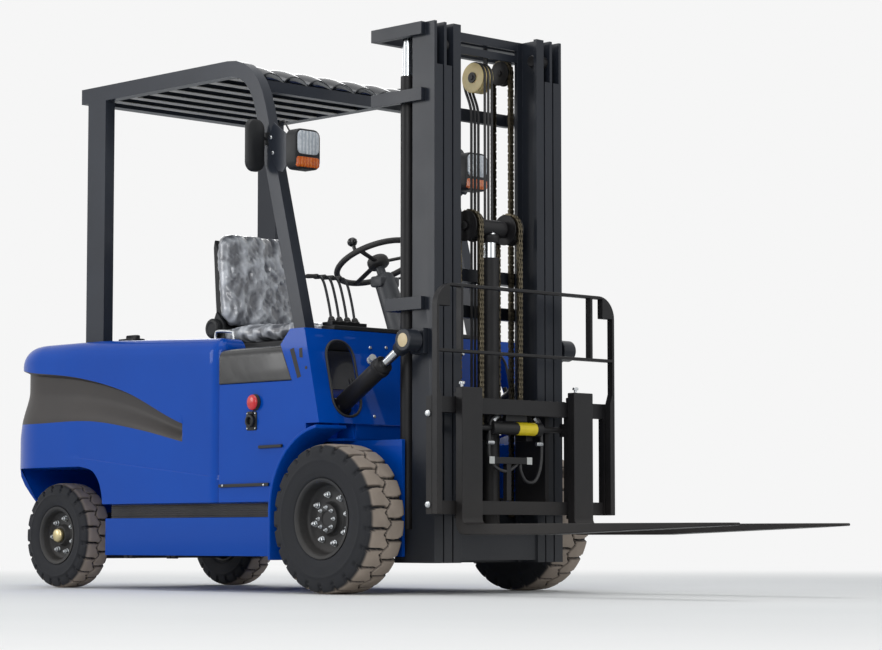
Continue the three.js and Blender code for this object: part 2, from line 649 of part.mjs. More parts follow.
function middleMast() {
  const { back, front } = crossBar;
  const inside = liftCylinder.y - liftCylinder.barrel - 8;
  const top = rail.top - 40;
  const parts = [
    box(back, front, -345, 345, top, rail.top),
    box(back, front, -inside, inside, 1240, 1290),
    box(back, front, -inside, inside, 262, 340),
  ];
  for (const side of sides) {
    parts.push(mastRail(side, middleBand, true));
    parts.push(roller(side, middleBand.outer - 2, outerBand.outer - rail.web - 4, lowerRollerZ));
    for (const [z0, z1] of [[top, rail.top], [1240, 1290], [262, 340]]) {
      parts.push(box(front - 1, rail.back + 1, side * (middleBand.inner + 2), side * inside, z0, z1));
    }
  }
  return join(...parts);
}
piece("middle_mast", black, middleMast());

function innerMast() {
  const reach = innerBand.inner + 1;
  const parts = [
    box(rail.back + 4, rail.back + 15, -reach, reach, rail.top - 36, rail.top),
    box(rail.back + 4, rail.back + 15, -reach, reach, rail.top - 86, rail.top - 56),
    box(rail.back + 4, freeLift.x + 50, -reach, reach, rail.bottom + 9, 248),
  ];
  for (const side of sides) {
    parts.push(mastRail(side, innerBand, false));
    parts.push(roller(side, innerBand.outer - 2, middleBand.outer - rail.web - 4, lowerRollerZ));
  }
  return join(...parts);
}
piece("inner_mast", black, innerMast());

for (const side of sides) {
  const { x, y, barrel, rod: rodRadius, top } = liftCylinder;
  const low = footTop + gap;
  const tube = rod([x, side * y, low], [x, side * y, top], barrel);
  const bore = rod([x, side * y, low + 60], [x, side * y, top + 10], rodRadius + gap);
  piece(`lift_barrel_${sideName(side)}`, black, cut(tube, bore));
  piece(`lift_rod_${sideName(side)}`, steel,
    rod([x, side * y, low + 70], [x, side * y, rail.top - 40 - gap], rodRadius));
}

function freeLiftBarrel() {
  const tube = rod([freeLift.x, 0, 248 + gap], [freeLift.x, 0, freeLift.top], freeLift.barrel, 16);
  const bore = rod([freeLift.x, 0, 300], [freeLift.x, 0, freeLift.top + 10], freeLift.ram + gap, 16);
  return cut(tube, bore);
}
piece("free_lift_barrel", black, freeLiftBarrel());

function crosshead() {
  const { x, ram, head, sheave, sheaveY } = freeLift;
  const parts = [
    rod([x, 0, 310], [x, 0, head], ram, 16),
    rod([x, -74, head], [x, 74, head], 34),
    rod([x, -146, head], [x, 146, head], 17, 10),
  ];
  for (const side of sides) {
    const wheel = turned([[0, -26], [sheave, -26], [sheave, -19], [sheave - 9, -17], [sheave - 9, 17],
      [sheave, 19], [sheave, 26], [0, 26]], 20);
    parts.push(wheel.translate(x, side * sheaveY, head));
  }
  return join(...parts);
}
piece("crosshead", black, crosshead());

function hosePulley() {
  const radius = 62;
  const x = crossBar.back + 2;
  const y = 70;
  const z = 2080;
  const grooves = [[0, -32], [radius, -32]];
  for (const offset of [-20, 0, 20]) {
    grooves.push([radius, offset - 8], [radius - 9, offset], [radius, offset + 8]);
  }
  grooves.push([radius, 32], [0, 32]);
  const hanger = box(x - 12, x + 12, y + 42, y + 48, z, rail.top - 40 - gap);
  const pin = rod([x, y - 40, z], [x, y + 50, z], 10, facet.small);
  return join(turned(grooves, 20).translate(x, y, z), hanger, pin);
}
piece("hose_pulley", nylon, hosePulley());

// ---------------------------------------------------------------- carriage, side shifter and forks

const carriageFront = carriageBack + barDepth;
const frameBack = carriageFront + running;
const frameFront = frameBack + barDepth;
const slidePad = running - gap;

function carriage() {
  const { z, radius } = shiftCylinder;
  const barTop = upperBar[1] - 12;
  const parts = [
    box(carriageBack, carriageFront, -400, 400, lowerBar[0], lowerBar[1]),
    box(carriageBack, carriageFront, -400, 400, upperBar[0], barTop),
    box(carriageBack + 4, carriageFront - 2, -60, 60, z + radius + gap, upperBar[0] + 1),
  ];
  for (const side of sides) {
    parts.push(box(rollerX - 20, carriageBack + 1, side * 185, side * 205, 330, barTop));
    for (const rollerZ of [392, 680]) parts.push(roller(side, 203, innerBand.outer - rail.web - 3, rollerZ));
    parts.push(box(carriageBack - 25, carriageBack - 15, side * 92, side * 128, 600, barTop));
    parts.push(box(carriageBack - 25, carriageBack + 1, side * 92, side * 128, upperBar[0], barTop));
    parts.push(box(freeLift.x + 52, carriageBack - 15, side * 92, side * 128, 600, 640));
    for (const [z0, z1] of [[lowerBar[0] + 6, lowerBar[1] - 6], [upperBar[0] + 4, barTop - 6]]) {
      parts.push(box(carriageFront - 1, carriageFront + slidePad, side * 150, side * 210, z0, z1));
    }
  }
  return join(...parts);
}
piece("carriage", black, carriage());

const shiftX = carriageBack + 15;

function shiftBarrel() {
  const { z, radius, rod: rodRadius, halfLength } = shiftCylinder;
  const tube = rod([shiftX, -halfLength, z], [shiftX, halfLength, z], radius);
  return cut(tube, rod([shiftX, -halfLength - 5, z], [shiftX, halfLength + 5, z], rodRadius + gap));
}
piece("side_shift_cylinder", black, shiftBarrel());

function sideShiftFrame() {
  const { z, rod: rodRadius } = shiftCylinder;
  const lugInner = shiftCylinder.halfLength + sideShift + 22;
  const parts = [
    box(frameBack, frameFront, -frameHalfWidth, frameHalfWidth, lowerBar[0], lowerBar[1]),
    box(frameBack, frameFront, -frameHalfWidth, frameHalfWidth, upperBar[0], upperBar[1]),
    box(carriageBack + 2, frameBack + 1, -330, 330, upperBar[1] - 7, upperBar[1]),
    rod([shiftX, -lugInner - 8, z], [shiftX, lugInner + 8, z], rodRadius),
  ];
  for (const side of sides) {
    parts.push(box(frameBack, frameFront, side * lugInner, side * (lugInner + 34), lowerBar[1] - 1, upperBar[0] + 1));
    parts.push(box(carriageBack + 6, frameBack + 1, side * lugInner, side * (lugInner + 18), z - 26, z + 26));
    parts.push(box(frameBack, backrest.back - gap, side * (frameHalfWidth - 32), side * frameHalfWidth,
      lowerBar[0], upperBar[1]));
  }
  return join(...parts);
}
piece("side_shift_frame", black, sideShiftFrame());

function loadBackrest() {
  const { back, depth, bar, top, middle, corner, postY } = backrest;
  const half = frameHalfWidth;
  const outer = new THREE.Shape();
  outer.moveTo(half, lowerBar[0]);
  outer.lineTo(half, top - corner);
  outer.absarc(half - corner, top - corner, corner, 0, Math.PI / 2, false);
  outer.lineTo(-half + corner, top);
  outer.absarc(-half + corner, top - corner, corner, Math.PI / 2, Math.PI, false);
  outer.lineTo(-half, lowerBar[0]);
  outer.lineTo(-half + 26, lowerBar[0]);
  outer.lineTo(-half + 26, upperBar[1]);
  outer.lineTo(-half + bar, upperBar[1] + 40);
  outer.lineTo(-half + bar, middle);
  outer.lineTo(half - bar, middle);
  outer.lineTo(half - bar, upperBar[1] + 40);
  outer.lineTo(half - 26, upperBar[1]);
  outer.lineTo(half - 26, lowerBar[0]);
  const z0 = middle + bar;
  const z1 = top - bar;
  const reach = [back - 5, back + depth + 5];
  const windows = [box(...reach, -postY + bar / 2, postY - bar / 2, z0, z1)];
  for (const side of sides) {
    const y0 = side * (postY + bar / 2);
    windows.push(box(...reach, y0, side * (half - bar), z0, top - corner));
    windows.push(box(...reach, y0, side * (half - corner + 20), top - corner - 1, z1));
  }
  return cut(plateYZ(outer, back, back + depth), ...windows);
}
piece("load_backrest", black, loadBackrest());

function forkShape() {
  const back = frameFront + gap;
  const face = back + fork.thick;
  const bladeBottom = fork.bladeTop - fork.bladeThick;
  const side = new THREE.Shape();
  side.moveTo(back, bladeBottom + 50);
  side.lineTo(back, fork.top);
  side.lineTo(face, fork.top);
  side.lineTo(face, fork.bladeTop + 24);
  side.quadraticCurveTo(face, fork.bladeTop, face + 24, fork.bladeTop);
  side.lineTo(fork.tipX, fork.bladeTop);
  side.lineTo(fork.tipX, fork.bladeTop - 10);
  side.lineTo(face + 420, bladeBottom);
  side.lineTo(back + 50, bladeBottom);
  side.quadraticCurveTo(back, bladeBottom, back, bladeBottom + 50);
  const half = fork.width / 2;
  const plan = [[back - 40, -half], [fork.tipX - 150, -half], [fork.tipX - 30, -half + 30], [fork.tipX, -16],
    [fork.tipX, 16], [fork.tipX - 30, half - 30], [fork.tipX - 150, half], [back - 40, half]];
  const body = common(plateXZ(side, -half, half), plateXY(plan, 0, fork.top + 10));
  const hooks = [
    box(frameBack, back + 1, -40, 40, upperBar[1] + gap, upperBar[1] + 20),
    box(frameBack, back + 1, -40, 40, lowerBar[0] - 16, lowerBar[0] - gap),
  ];
  return join(body, ...hooks);
}
for (const side of sides) {
  const tine = piece(`fork_${sideName(side)}`, black, forkShape());
  tine.position.y = side * fork.y;
}

// ---------------------------------------------------------------- tilt cylinders

const tiltLength = Math.hypot(tilt.eyeX - tilt.baseX, tilt.eyeZ - tilt.baseZ);
const tiltAngle = Math.atan2(tilt.eyeZ - tilt.baseZ, tilt.eyeX - tilt.baseX);

for (const side of sides) {
  const place = new THREE.Group();
  place.position.set(tilt.baseX, side * tilt.y, tilt.baseZ);
  place.rotation.y = -tiltAngle;
  const mouth = tiltLength - 160;
  const eye = rod([0, -34, 0], [0, 34, 0], tilt.barrel);
  const tube = rod([0, 0, 0], [mouth, 0, 0], tilt.barrel);
  const collar = rod([mouth - 40, 0, 0], [mouth, 0, 0], tilt.barrel + 5);
  const bore = rod([120, 0, 0], [mouth + 10, 0, 0], tilt.rod + gap);
  const pinHole = rod([0, -50, 0], [0, 50, 0], (tilt.pin + gap) / Math.cos(Math.PI / facet.bar));
  piece(`tilt_barrel_${sideName(side)}`, black, cut(join(eye, tube, collar), bore, pinHole), place);
  const shaft = rod([210, 0, 0], [tiltLength - 20, 0, 0], tilt.rod);
  const head = rod([tiltLength, -34, 0], [tiltLength, 34, 0], 42, 18);
  const neck = rod([tiltLength - 62, 0, 0], [tiltLength - 10, 0, 0], 28, facet.bar, 34);
  piece(`tilt_rod_${sideName(side)}`, steel, join(shaft, head, neck), place);
  truck.add(place);
}

// ---------------------------------------------------------------- the whole truck

truck.position.x = (rearBumper - fork.tipX) / 2;

export default truck;
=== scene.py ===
# %% [markdown]
# # A forklift truck, finished piece by piece
#
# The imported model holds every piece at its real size. This lesson gives each piece its final surface
# and its paint, rubber, steel or plastic. It starts by loading that model as a fixed frame.

# %% Load the frame
import json
import math

import bmesh
import bpy
import numpy as np
from mathutils import Matrix, Vector

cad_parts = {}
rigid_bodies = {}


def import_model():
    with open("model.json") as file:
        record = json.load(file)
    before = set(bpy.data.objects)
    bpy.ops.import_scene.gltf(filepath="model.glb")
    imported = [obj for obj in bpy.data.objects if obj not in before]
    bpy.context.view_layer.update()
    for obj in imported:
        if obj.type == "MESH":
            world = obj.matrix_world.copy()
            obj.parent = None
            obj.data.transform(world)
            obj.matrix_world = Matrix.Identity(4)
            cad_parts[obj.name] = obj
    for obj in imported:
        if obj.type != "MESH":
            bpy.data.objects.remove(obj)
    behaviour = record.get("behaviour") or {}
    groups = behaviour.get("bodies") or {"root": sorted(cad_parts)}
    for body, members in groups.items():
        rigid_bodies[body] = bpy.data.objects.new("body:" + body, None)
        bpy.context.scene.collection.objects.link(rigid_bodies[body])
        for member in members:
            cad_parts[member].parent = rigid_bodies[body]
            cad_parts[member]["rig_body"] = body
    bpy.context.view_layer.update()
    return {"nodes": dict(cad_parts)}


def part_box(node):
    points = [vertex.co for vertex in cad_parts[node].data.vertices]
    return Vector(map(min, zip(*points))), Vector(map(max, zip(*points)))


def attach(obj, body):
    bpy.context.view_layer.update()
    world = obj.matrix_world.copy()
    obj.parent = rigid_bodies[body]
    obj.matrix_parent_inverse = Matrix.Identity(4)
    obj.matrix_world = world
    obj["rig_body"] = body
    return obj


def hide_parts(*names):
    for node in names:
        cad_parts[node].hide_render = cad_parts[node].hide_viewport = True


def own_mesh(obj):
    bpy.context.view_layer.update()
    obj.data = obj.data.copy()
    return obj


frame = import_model()
scene = bpy.context.scene

# %% [markdown]
# ## Where things are
#
# A workshop drawing of a truck measures from the floor under the middle of its front axle, in
# millimetres. A small function turns such a place into metres in the frame. The axle's own place is
# read from the front tyre's box, so nothing here has to be fitted by hand.

# %% Places measured from the front axle
MM = 0.001
SIDES = (("right", -1), ("left", 1))
AXLE_X = sum(corner.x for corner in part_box("front_tyre_right")) / 2


def placed(points):
    """An array of places, x mm ahead of the front axle, y to the left and z above the floor, in metres."""
    return np.asarray(points, float) * MM + (AXLE_X, 0, 0)


def at(x, y, z):
    """One such place, as a vector in metres."""
    return Vector((AXLE_X + x * MM, y * MM, z * MM))


def span(node):
    """A node's box in the same millimetres: (x0, x1), (y0, y1), (z0, z1)."""
    a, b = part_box(node)
    return [((a[i] - start) / MM, (b[i] - start) / MM) for i, start in enumerate((AXLE_X, 0, 0))]


print("front axle at x =", round(AXLE_X, 3), "m")

# %% [markdown]
# ## The camera
#
# The truck is seen from its front right corner, from knee height, through a long lens, so that its
# upright edges stay upright. A camera looks along its own -Z, so the three columns of its matrix are
# its right, its up and its backward direction.

# %% Camera
camera_data = bpy.data.cameras.new("camera")
camera_data.lens = 108.6
camera_data.sensor_width = 36.0
camera_data.clip_end = 200
camera = bpy.data.objects.new("camera", camera_data)
scene.collection.objects.link(camera)
forward = Vector((-0.7151, 0.6944, 0.0793)).normalized()
right = Vector((0.6966, 0.7174, 0.0)).normalized()
turn = Matrix((right, right.cross(forward), -forward)).transposed().to_4x4()
camera.matrix_world = Matrix.Translation((7.9883, -7.4961, 0.2228)) @ turn
scene.camera = camera
print("camera lens", camera_data.lens, "mm")

# %% [markdown]
# ## A small language for materials
#
# Every finish below is a short tree of nodes, and a few helpers keep the trees readable. One turns a
# hex colour, as a paint maker would give it, into the linear numbers that light is reckoned in. One
# adds any node with its settings and links. The others are the five nodes that come back most often.


def linear(code):
    """sRGB hex to linear: c/12.92 below 0.04045, and ((c + 0.055)/1.055)^2.4 above it."""
    parts = [int(code[i:i + 2], 16) / 255 for i in (1, 3, 5)]
    return tuple(c / 12.92 if c <= 0.04045 else ((c + 0.055) / 1.055) ** 2.4 for c in parts) + (1.0,)


def add(tree, kind, settings=None, inputs=None):
    """One node: settings are its properties, inputs are values or the sockets that feed it."""
    node = tree.nodes.new(kind)
    for name, value in (settings or {}).items():
        setattr(node, name, value)
    for name, value in (inputs or {}).items():
        if isinstance(value, bpy.types.NodeSocket):
            tree.links.new(value, node.inputs[name])
        else:
            node.inputs[name].default_value = value
    return node


def start(name, slot):
    """A new empty material, its tree, and the place of each point on its piece; slot is not used."""
    material = bpy.data.materials.new(name)
    material.use_nodes = True
    material.node_tree.nodes.clear()
    place = add(material.node_tree, "ShaderNodeTexCoord").outputs["Object"]
    return material, material.node_tree, place


def noise(tree, place, size, detail, settings=None, **inputs):
    """A noise with features of size mm."""
    inputs = {"Vector": place, "Scale": 1 / (size * MM), "Detail": detail, **inputs}
    return add(tree, "ShaderNodeTexNoise", settings, inputs).outputs["Fac"]


def mixed(tree, share, one, other):
    """The colour one, turning into the other as share goes from 0 to 1."""
    return add(tree, "ShaderNodeMix", {"data_type": "RGBA"}, {0: share, 6: one, 7: other}).outputs[2]


def reckoned(tree, operation, *values):
    """One step of arithmetic on its values."""
    return add(tree, "ShaderNodeMath", {"operation": operation}, dict(enumerate(values))).outputs[0]


def ranged(tree, value, low, high, start=0.0, end=1.0, kind="LINEAR"):
    """Goes from low to high as value goes from start to end."""
    inputs = {"Value": value, "From Min": start, "From Max": end, "To Min": low, "To Max": high}
    return add(tree, "ShaderNodeMapRange", {"interpolation_type": kind}, inputs).outputs["Result"]


def bumped(tree, height, distance, strength=1.0):
    """A relief distance mm high."""
    inputs = {"Height": height, "Distance": distance * MM, "Strength": strength}
    return add(tree, "ShaderNodeBump", inputs=inputs).outputs["Normal"]


def shade(tree, colour, rough, normal, ior=None, specular=None, coat=(None, None), metallic=None,
          subsurface=(None, None)):
    """One Principled shader with plain numbers on its own sockets; a number left out keeps its default."""
    inputs = {"Base Color": colour, "Roughness": rough, "Normal": normal, "IOR": ior,
              "Specular IOR Level": specular, "Coat Weight": coat[0], "Coat Roughness": coat[1],
              "Metallic": metallic, "Subsurface Weight": subsurface[0], "Subsurface Scale": subsurface[1]}
    bsdf = add(tree, "ShaderNodeBsdfPrincipled", inputs={k: v for k, v in inputs.items() if v is not None})
    add(tree, "ShaderNodeOutputMaterial", inputs={"Surface": bsdf.outputs["BSDF"]})


# %% [markdown]
# ## One function for coats and mouldings
#
# Paint, moulded plastic and rubber differ in their numbers, not in their build. Each has two close
# shades that drift into each other over a hand's width, a sheen that varies a little, and a fine
# relief: orange peel on paint, grain on plastic. So one function makes them all.

# %% A finish with drifting shade, sheen and relief
DUST_AND_SHADE_MOST = 0.55


def finish(name, slot, dark, light, sheen, patch, grain, relief, dust_and_shade=None, **numbers):
    """Colour runs from dark to light with a noise of patch mm, roughness between the two sheen values,
    and a bump of relief mm has grain mm features. A low tint (colour, height mm) fades in towards the
    floor: real dust on most coats, painted shade on the blue body."""
    material, tree, place = start(name, slot)
    drift = noise(tree, place, patch, 4.0)
    colour = mixed(tree, drift, linear(dark), linear(light))
    # A low tint towards the floor: real dust on most coats, painted shade on the blue body.
    if dust_and_shade:
        tint, height = dust_and_shade
        rise = add(tree, "ShaderNodeSeparateXYZ", inputs={0: place}).outputs["Z"]
        patchy = reckoned(tree, "MULTIPLY", ranged(tree, rise, DUST_AND_SHADE_MOST, 0.0, end=height * MM), drift)
        colour = mixed(tree, patchy, colour, linear(tint))
    gloss = ranged(tree, noise(tree, place, patch * 0.4, 6.0), *sheen)
    shade(tree, colour, gloss, bumped(tree, noise(tree, place, grain, 2.0), relief), **numbers)
    return material


# %% [markdown]
# ## Paints
#
# The body is sprayed with a royal blue gloss enamel: a coloured coat under a clear skin, so the shader
# gets a coat layer. The mast and guard have a satin blue-grey enamel, and the carriage and forks a
# thinner brownish black one. The hollow on the counterweight is a matt grey-brown. Orange peel on
# sprayed enamel is 1 to 3 mm wide; it is drawn at 4 to 6 mm so that it shows.

# %% Paint materials
# The blue's low tint is painted shade: a darker blue that fades in below 380 mm, towards the floor.
blue_enamel = finish("blue_gloss_enamel", "blue_paint", "#0042a2", "#0050b8", (0.3, 0.42), 500, 6, 0.012,
                     dust_and_shade=("#1d3a70", 380), coat=(0.3, 0.05), ior=1.5, specular=0.05)
mast_enamel = finish("blue_grey_satin_enamel", "mast_paint", "#1c1f25", "#292d35", (0.30, 0.44), 350, 5,
                     0.015, dust_and_shade=("#4a4742", 500), coat=(0.12, 0.2), ior=1.5, specular=0.2)
guard_enamel = finish("guard_satin_enamel", "mast_paint", "#23262d", "#333841", (0.26, 0.38), 300, 5, 0.015,
                      coat=(0.15, 0.15), ior=1.5, specular=0.2)
# Pale grey drawn on the undersides of the guard's roof bars.
pale_underside_colour = finish("pale_grey_underside", "mast_paint", "#a3a29c", "#bdbbb4", (0.5, 0.65), 160, 4, 0.02, ior=1.5)
fork_enamel = finish("black_thin_enamel", "black_paint", "#161618", "#232223", (0.36, 0.52), 160, 4, 0.03,
                     dust_and_shade=("#4a433b", 500), ior=1.5, specular=0.25)
frame_black = finish("chassis_black_enamel", "black_paint", "#131416", "#202124", (0.5, 0.7), 200, 5, 0.04,
                     dust_and_shade=("#4a443c", 500), ior=1.5)
hollow_enamel = finish("matt_brown_grey_enamel", "blue_paint", "#2c2a2a", "#47423f", (0.4, 0.55), 420, 4,
                       0.02, ior=1.5, specular=0.3)
print("paints", len(bpy.data.materials))

# %% [markdown]
# ## Plastics and rubber
#
# Moulded ABS has an even grain and a soft sheen. The side cover is the same plastic, polished. Tyre
# rubber is darkest where it was moulded and goes brown-grey where it touches the floor, so a tyre
# carries an attribute that says how much tread dust each point has.

# %% Plastic and rubber materials
black_abs = finish("black_moulded_abs", "black_plastic", "#191a1c", "#242527", (0.42, 0.55), 120, 1.2, 0.05,
                   ior=1.53, specular=0.3)
grey_abs = finish("grey_moulded_abs", "black_plastic", "#2b2d31", "#393c41", (0.42, 0.52), 150, 1.2, 0.05,
                  ior=1.53)
glossy_abs = finish("black_polished_abs", "black_plastic", "#0d0e10", "#17181a", (0.16, 0.3), 180, 60, 0.9,
                    coat=(0.3, 0.06), ior=1.53, specular=0.35)
smoked_sheet = finish("smoked_polycarbonate", "smoked", "#15181d", "#252a31", (0.12, 0.24), 160, 8, 0.05,
                      coat=(0.25, 0.1), ior=1.58, specular=0.3)
strip_grey = finish("grey_sealing_strip", "smoked", "#6d7278", "#868b91", (0.4, 0.5), 80, 3, 0.02, ior=1.5)
nylon = finish("cream_cast_nylon", "nylon", "#c2ad72", "#d8c795", (0.35, 0.5), 40, 3, 0.04, ior=1.53,
               subsurface=(0.1, 0.004))
hose_rubber = finish("black_hose_rubber", "black_plastic", "#141415", "#202022", (0.45, 0.6), 60, 1.5, 0.05,
                     ior=1.52)
grip_rubber = finish("ribbed_step_rubber", "black_plastic", "#232325", "#33312f", (0.55, 0.7), 90, 3, 0.2,
                     dust_and_shade=("#5c5650", 700), ior=1.52)
stop_red = finish("red_moulded_abs", "stop_red", "#c2101c", "#d91a26", (0.25, 0.35), 30, 1.5, 0.02,
                  coat=(0.3, 0.1), ior=1.53)
yellow_label = finish("yellow_vinyl_label", "nylon", "#d8bf12", "#ead32a", (0.35, 0.45), 40, 3, 0.01, ior=1.5)
cream_label = finish("cream_vinyl_label", "nylon", "#cdb78c", "#decba4", (0.3, 0.42), 30, 3, 0.01, ior=1.5)
tag_white = finish("white_vinyl_label", "nylon", "#b9bbb8", "#cfd0cc", (0.35, 0.45), 30, 3, 0.01, ior=1.5)


def tyre_rubber():
    """Moulded rubber: near black in the grooves and on the wall, brown-grey floor dirt on the lugs by
    attribute.
    """
    material, tree, place = start("tyre_rubber", "tyre")
    drift = noise(tree, place, 60, 6.0)
    wall = mixed(tree, drift, linear("#1d1e21"), linear("#2b2c30"))
    worn = mixed(tree, drift, linear("#857a6f"), linear("#ad9f92"))
    amount = add(tree, "ShaderNodeAttribute", {"attribute_name": "tread"}).outputs["Fac"]
    bump = bumped(tree, noise(tree, place, 4, 3.0), 0.25)
    shade(tree, mixed(tree, amount, wall, worn), ranged(tree, drift, 0.55, 0.85), bump, 1.52, 0.25)
    return material


tyre_black = tyre_rubber()
print("materials", len(bpy.data.materials))

# %% [markdown]
# ## Metals and lamps
#
# Zinc-plated nuts, chromed cylinder rods and oiled chain are metals: metallic 1, the default IOR, and
# their difference is colour and roughness. Lamp lenses are clear plastic over a bright reflector, drawn
# as one pale glossy solid whose flutes are a wave pattern.

# %% Metal materials
def metal(name, dark, light, sheen, patch=30, relief=0.02, slot="chrome"):
    """The same drift, sheen and relief as a coat, on a metallic shader with its default IOR."""
    return finish(name, slot, dark, light, sheen, patch, 1.5, relief, metallic=1.0)


zinc_steel = metal("zinc_plated_steel", "#a7aaad", "#c9ccce", (0.22, 0.38))
chrome_rod = metal("hard_chromed_rod", "#b5b9bd", "#d3d6d8", (0.12, 0.2), 80, 0.005)
chain_steel = metal("oiled_chain_steel", "#3a352c", "#837a66", (0.28, 0.5), 25)
brass_cap = metal("gold_passivated_steel", "#b9a878", "#dccfa6", (0.3, 0.42), 25)
lever_steel = metal("black_oxide_steel", "#2a2b2d", "#3b3c3e", (0.35, 0.5), 40, slot="black_plastic")


# %% Lens materials
def lens(name, dark, light, flute):
    """Moulded lens: a wave of flute mm makes the flutes, and cells a little wider break its colour up."""
    material, tree, place = start(name, "lamp")
    wave = add(tree, "ShaderNodeTexWave", {"bands_direction": "Y"},
               {"Vector": place, "Scale": 1 / (6.28 * flute * MM), "Distortion": 0.4}).outputs["Fac"]
    cells = add(tree, "ShaderNodeTexVoronoi", inputs={"Vector": place, "Scale": 1 / (1.4 * flute * MM)})
    share = reckoned(tree, "MULTIPLY", wave, cells.outputs["Distance"])
    shade(tree, mixed(tree, share, linear(dark), linear(light)), 0.12, bumped(tree, wave, 1.2, 0.8), 1.49,
          coat=(0.8, 0.03))
    return material


clear_lens = lens("clear_fluted_acrylic", "#b4bcc4", "#f0f3f5", 9)
amber_lens = lens("amber_fluted_acrylic", "#c8520a", "#f08c2c", 8)
print("materials", len(bpy.data.materials))

# %% [markdown]
# ## Shapes as arrays
#
# A shape here is a pair: an array of points and a list of face arrays. Most pieces are one of three
# surfaces: a grid of points, a profile turned round an axis, or a profile carried along a path. They
# are worked out as whole arrays, and only then put into a mesh.

# %% Grids
def grid(points, around=False, along=False):
    """Faces join each point [i, j] to its neighbours [i+1, j], [i+1, j+1] and [i, j+1].
    around closes the second direction on itself, along the first."""
    rows, columns = points.shape[:2]
    number = np.arange(rows * columns).reshape(rows, columns)
    if along:
        number = np.concatenate([number, number[:1]], 0)
    if around:
        number = np.concatenate([number, number[:, :1]], 1)
    quads = np.stack([number[:-1, :-1], number[1:, :-1], number[1:, 1:], number[:-1, 1:]], -1)
    return points.reshape(-1, 3), [quads.reshape(-1, 4)]


def capped(points):
    """A grid of closed rings with a face over its first and its last ring."""
    shape_points, faces = grid(points, around=True)
    first = np.arange(points.shape[1])[None]
    return shape_points, faces + [first[:, ::-1], len(shape_points) - points.shape[1] + first]


def joined(*shapes):
    """Several shapes as one: each one's face numbers move on by the points that came before."""
    points, faces, count = [], [], 0
    for shape_points, shape_faces in shapes:
        points.append(shape_points)
        faces += [f + count for f in shape_faces]
        count += len(shape_points)
    return np.concatenate(points), faces


def copies(shape, matrices):
    """One shape repeated: copy k has its points multiplied by matrix k."""
    points, faces = shape
    matrices = np.asarray(matrices, float)
    many = np.einsum("kij,nj->kni", matrices[:, :3, :3], points) + matrices[:, None, :3, 3]
    step = np.arange(len(matrices))[:, None, None] * len(points)
    return many.reshape(-1, 3), [(f[None] + step).reshape(-1, f.shape[1]) for f in faces]


# %% Turned and swept surfaces
def basis(direction):
    """Two unit vectors that stand square to a direction and to each other, and its own unit vector."""
    w = Vector(direction).normalized()
    u = w.orthogonal().normalized()
    return np.array(u), np.array(w.cross(u)), np.array(w)


def turned(profile, start, direction, segments=48):
    """Point [i, j] = start + radius_j (cos a_i u + sin a_i v) + distance_j w, with the profile given in mm
    as (radius, distance). A profile that starts and ends on the axis closes its own ends."""
    u, v, w = basis(direction)
    radius, distance = np.asarray(profile, float).T * MM
    angle = np.linspace(0, 2 * np.pi, segments, endpoint=False)
    ring = np.cos(angle)[:, None, None] * u + np.sin(angle)[:, None, None] * v
    points = np.asarray(start) + ring * radius[None, :, None] + distance[None, :, None] * w
    return grid(points, along=True)


def drum(radius, a, b, edge=0):
    """The profile of a round solid from a to b mm, with its edges cut back by edge."""
    if not edge:
        return [(0, a), (radius, a), (radius, b), (0, b)]
    return [(0, a), (radius - edge, a), (radius, a + edge), (radius, b - edge), (radius - edge, b), (0, b)]


def bar(start, end, radius, segments=24):
    """A round bar with broken edges between two places."""
    way = Vector(end) - Vector(start)
    return turned(drum(radius, 0, way.length / MM, 1.5), start, way, segments)


def swept(path, outline, closed=False, twist_up=(0, 0, 1)):
    """The outline, in mm, stands square to the path at each point: p_i + a_j side_i + b_j up_i.
    side is the path's direction crossed with a fixed up, and up is side crossed with the direction."""
    path = np.asarray([tuple(p) for p in path], float)
    ahead = np.roll(path, -1, 0) - np.roll(path, 1, 0)
    if not closed:
        ahead[0], ahead[-1] = path[1] - path[0], path[-1] - path[-2]
    ahead /= np.linalg.norm(ahead, axis=1)[:, None]
    side = np.cross(ahead, np.asarray(twist_up, float))
    side /= np.linalg.norm(side, axis=1)[:, None]
    up_way = np.cross(side, ahead)
    outline = np.asarray(outline, float) * MM
    points = path[:, None] + outline[None, :, :1] * side[:, None] + outline[None, :, 1:] * up_way[:, None]
    return grid(points, around=True, along=True) if closed else capped(points)


def circle(radius, sides=12):
    """Points on a circle: (r cos a, r sin a)."""
    angle = np.linspace(0, 2 * np.pi, sides, endpoint=False)
    return np.stack([radius * np.cos(angle), radius * np.sin(angle)], 1)


def arc(x, z, radius, steps, start=0.0, end=math.pi):
    """Places (x + r cos a, z + r sin a) on part of a circle, with steps points."""
    angle = np.linspace(start, end, steps)
    return np.stack([x + radius * np.cos(angle), z + radius * np.sin(angle)], 1)


def smooth_path(points, steps=8):
    """A Catmull-Rom curve through the points: each span blends its four nearest points with cubic weights."""
    p = np.asarray([tuple(q) for q in points], float)
    p = np.concatenate([2 * p[:1] - p[1:2], p, 2 * p[-1:] - p[-2:-1]])
    t = np.linspace(0, 1, steps, endpoint=False)[None, :, None]
    a, b, c, d = p[:-3, None], p[1:-2, None], p[2:-1, None], p[3:, None]
    bend = (2 * a - 5 * b + 4 * c - d) * t ** 2 + (3 * b - a - 3 * c + d) * t ** 3
    curve = 0.5 * (2 * b + (c - a) * t + bend)
    return np.concatenate([curve.reshape(-1, 3), p[-2:-1]])


# %% Plates and boxes
def rounded_outline(w, h, r, steps=5):
    """A rectangle w by h whose corners are quarter circles of radius r."""
    corner = arc(0, 0, r, steps, 0.0, np.pi / 2)
    turns = [corner, corner[:, ::-1] * (-1, 1), -corner, corner[:, ::-1] * (1, -1)]
    middles = [(a * (w / 2 - r), b * (h / 2 - r)) for a, b in ((1, 1), (-1, 1), (-1, -1), (1, -1))]
    return np.concatenate([t + m for t, m in zip(turns, middles)])


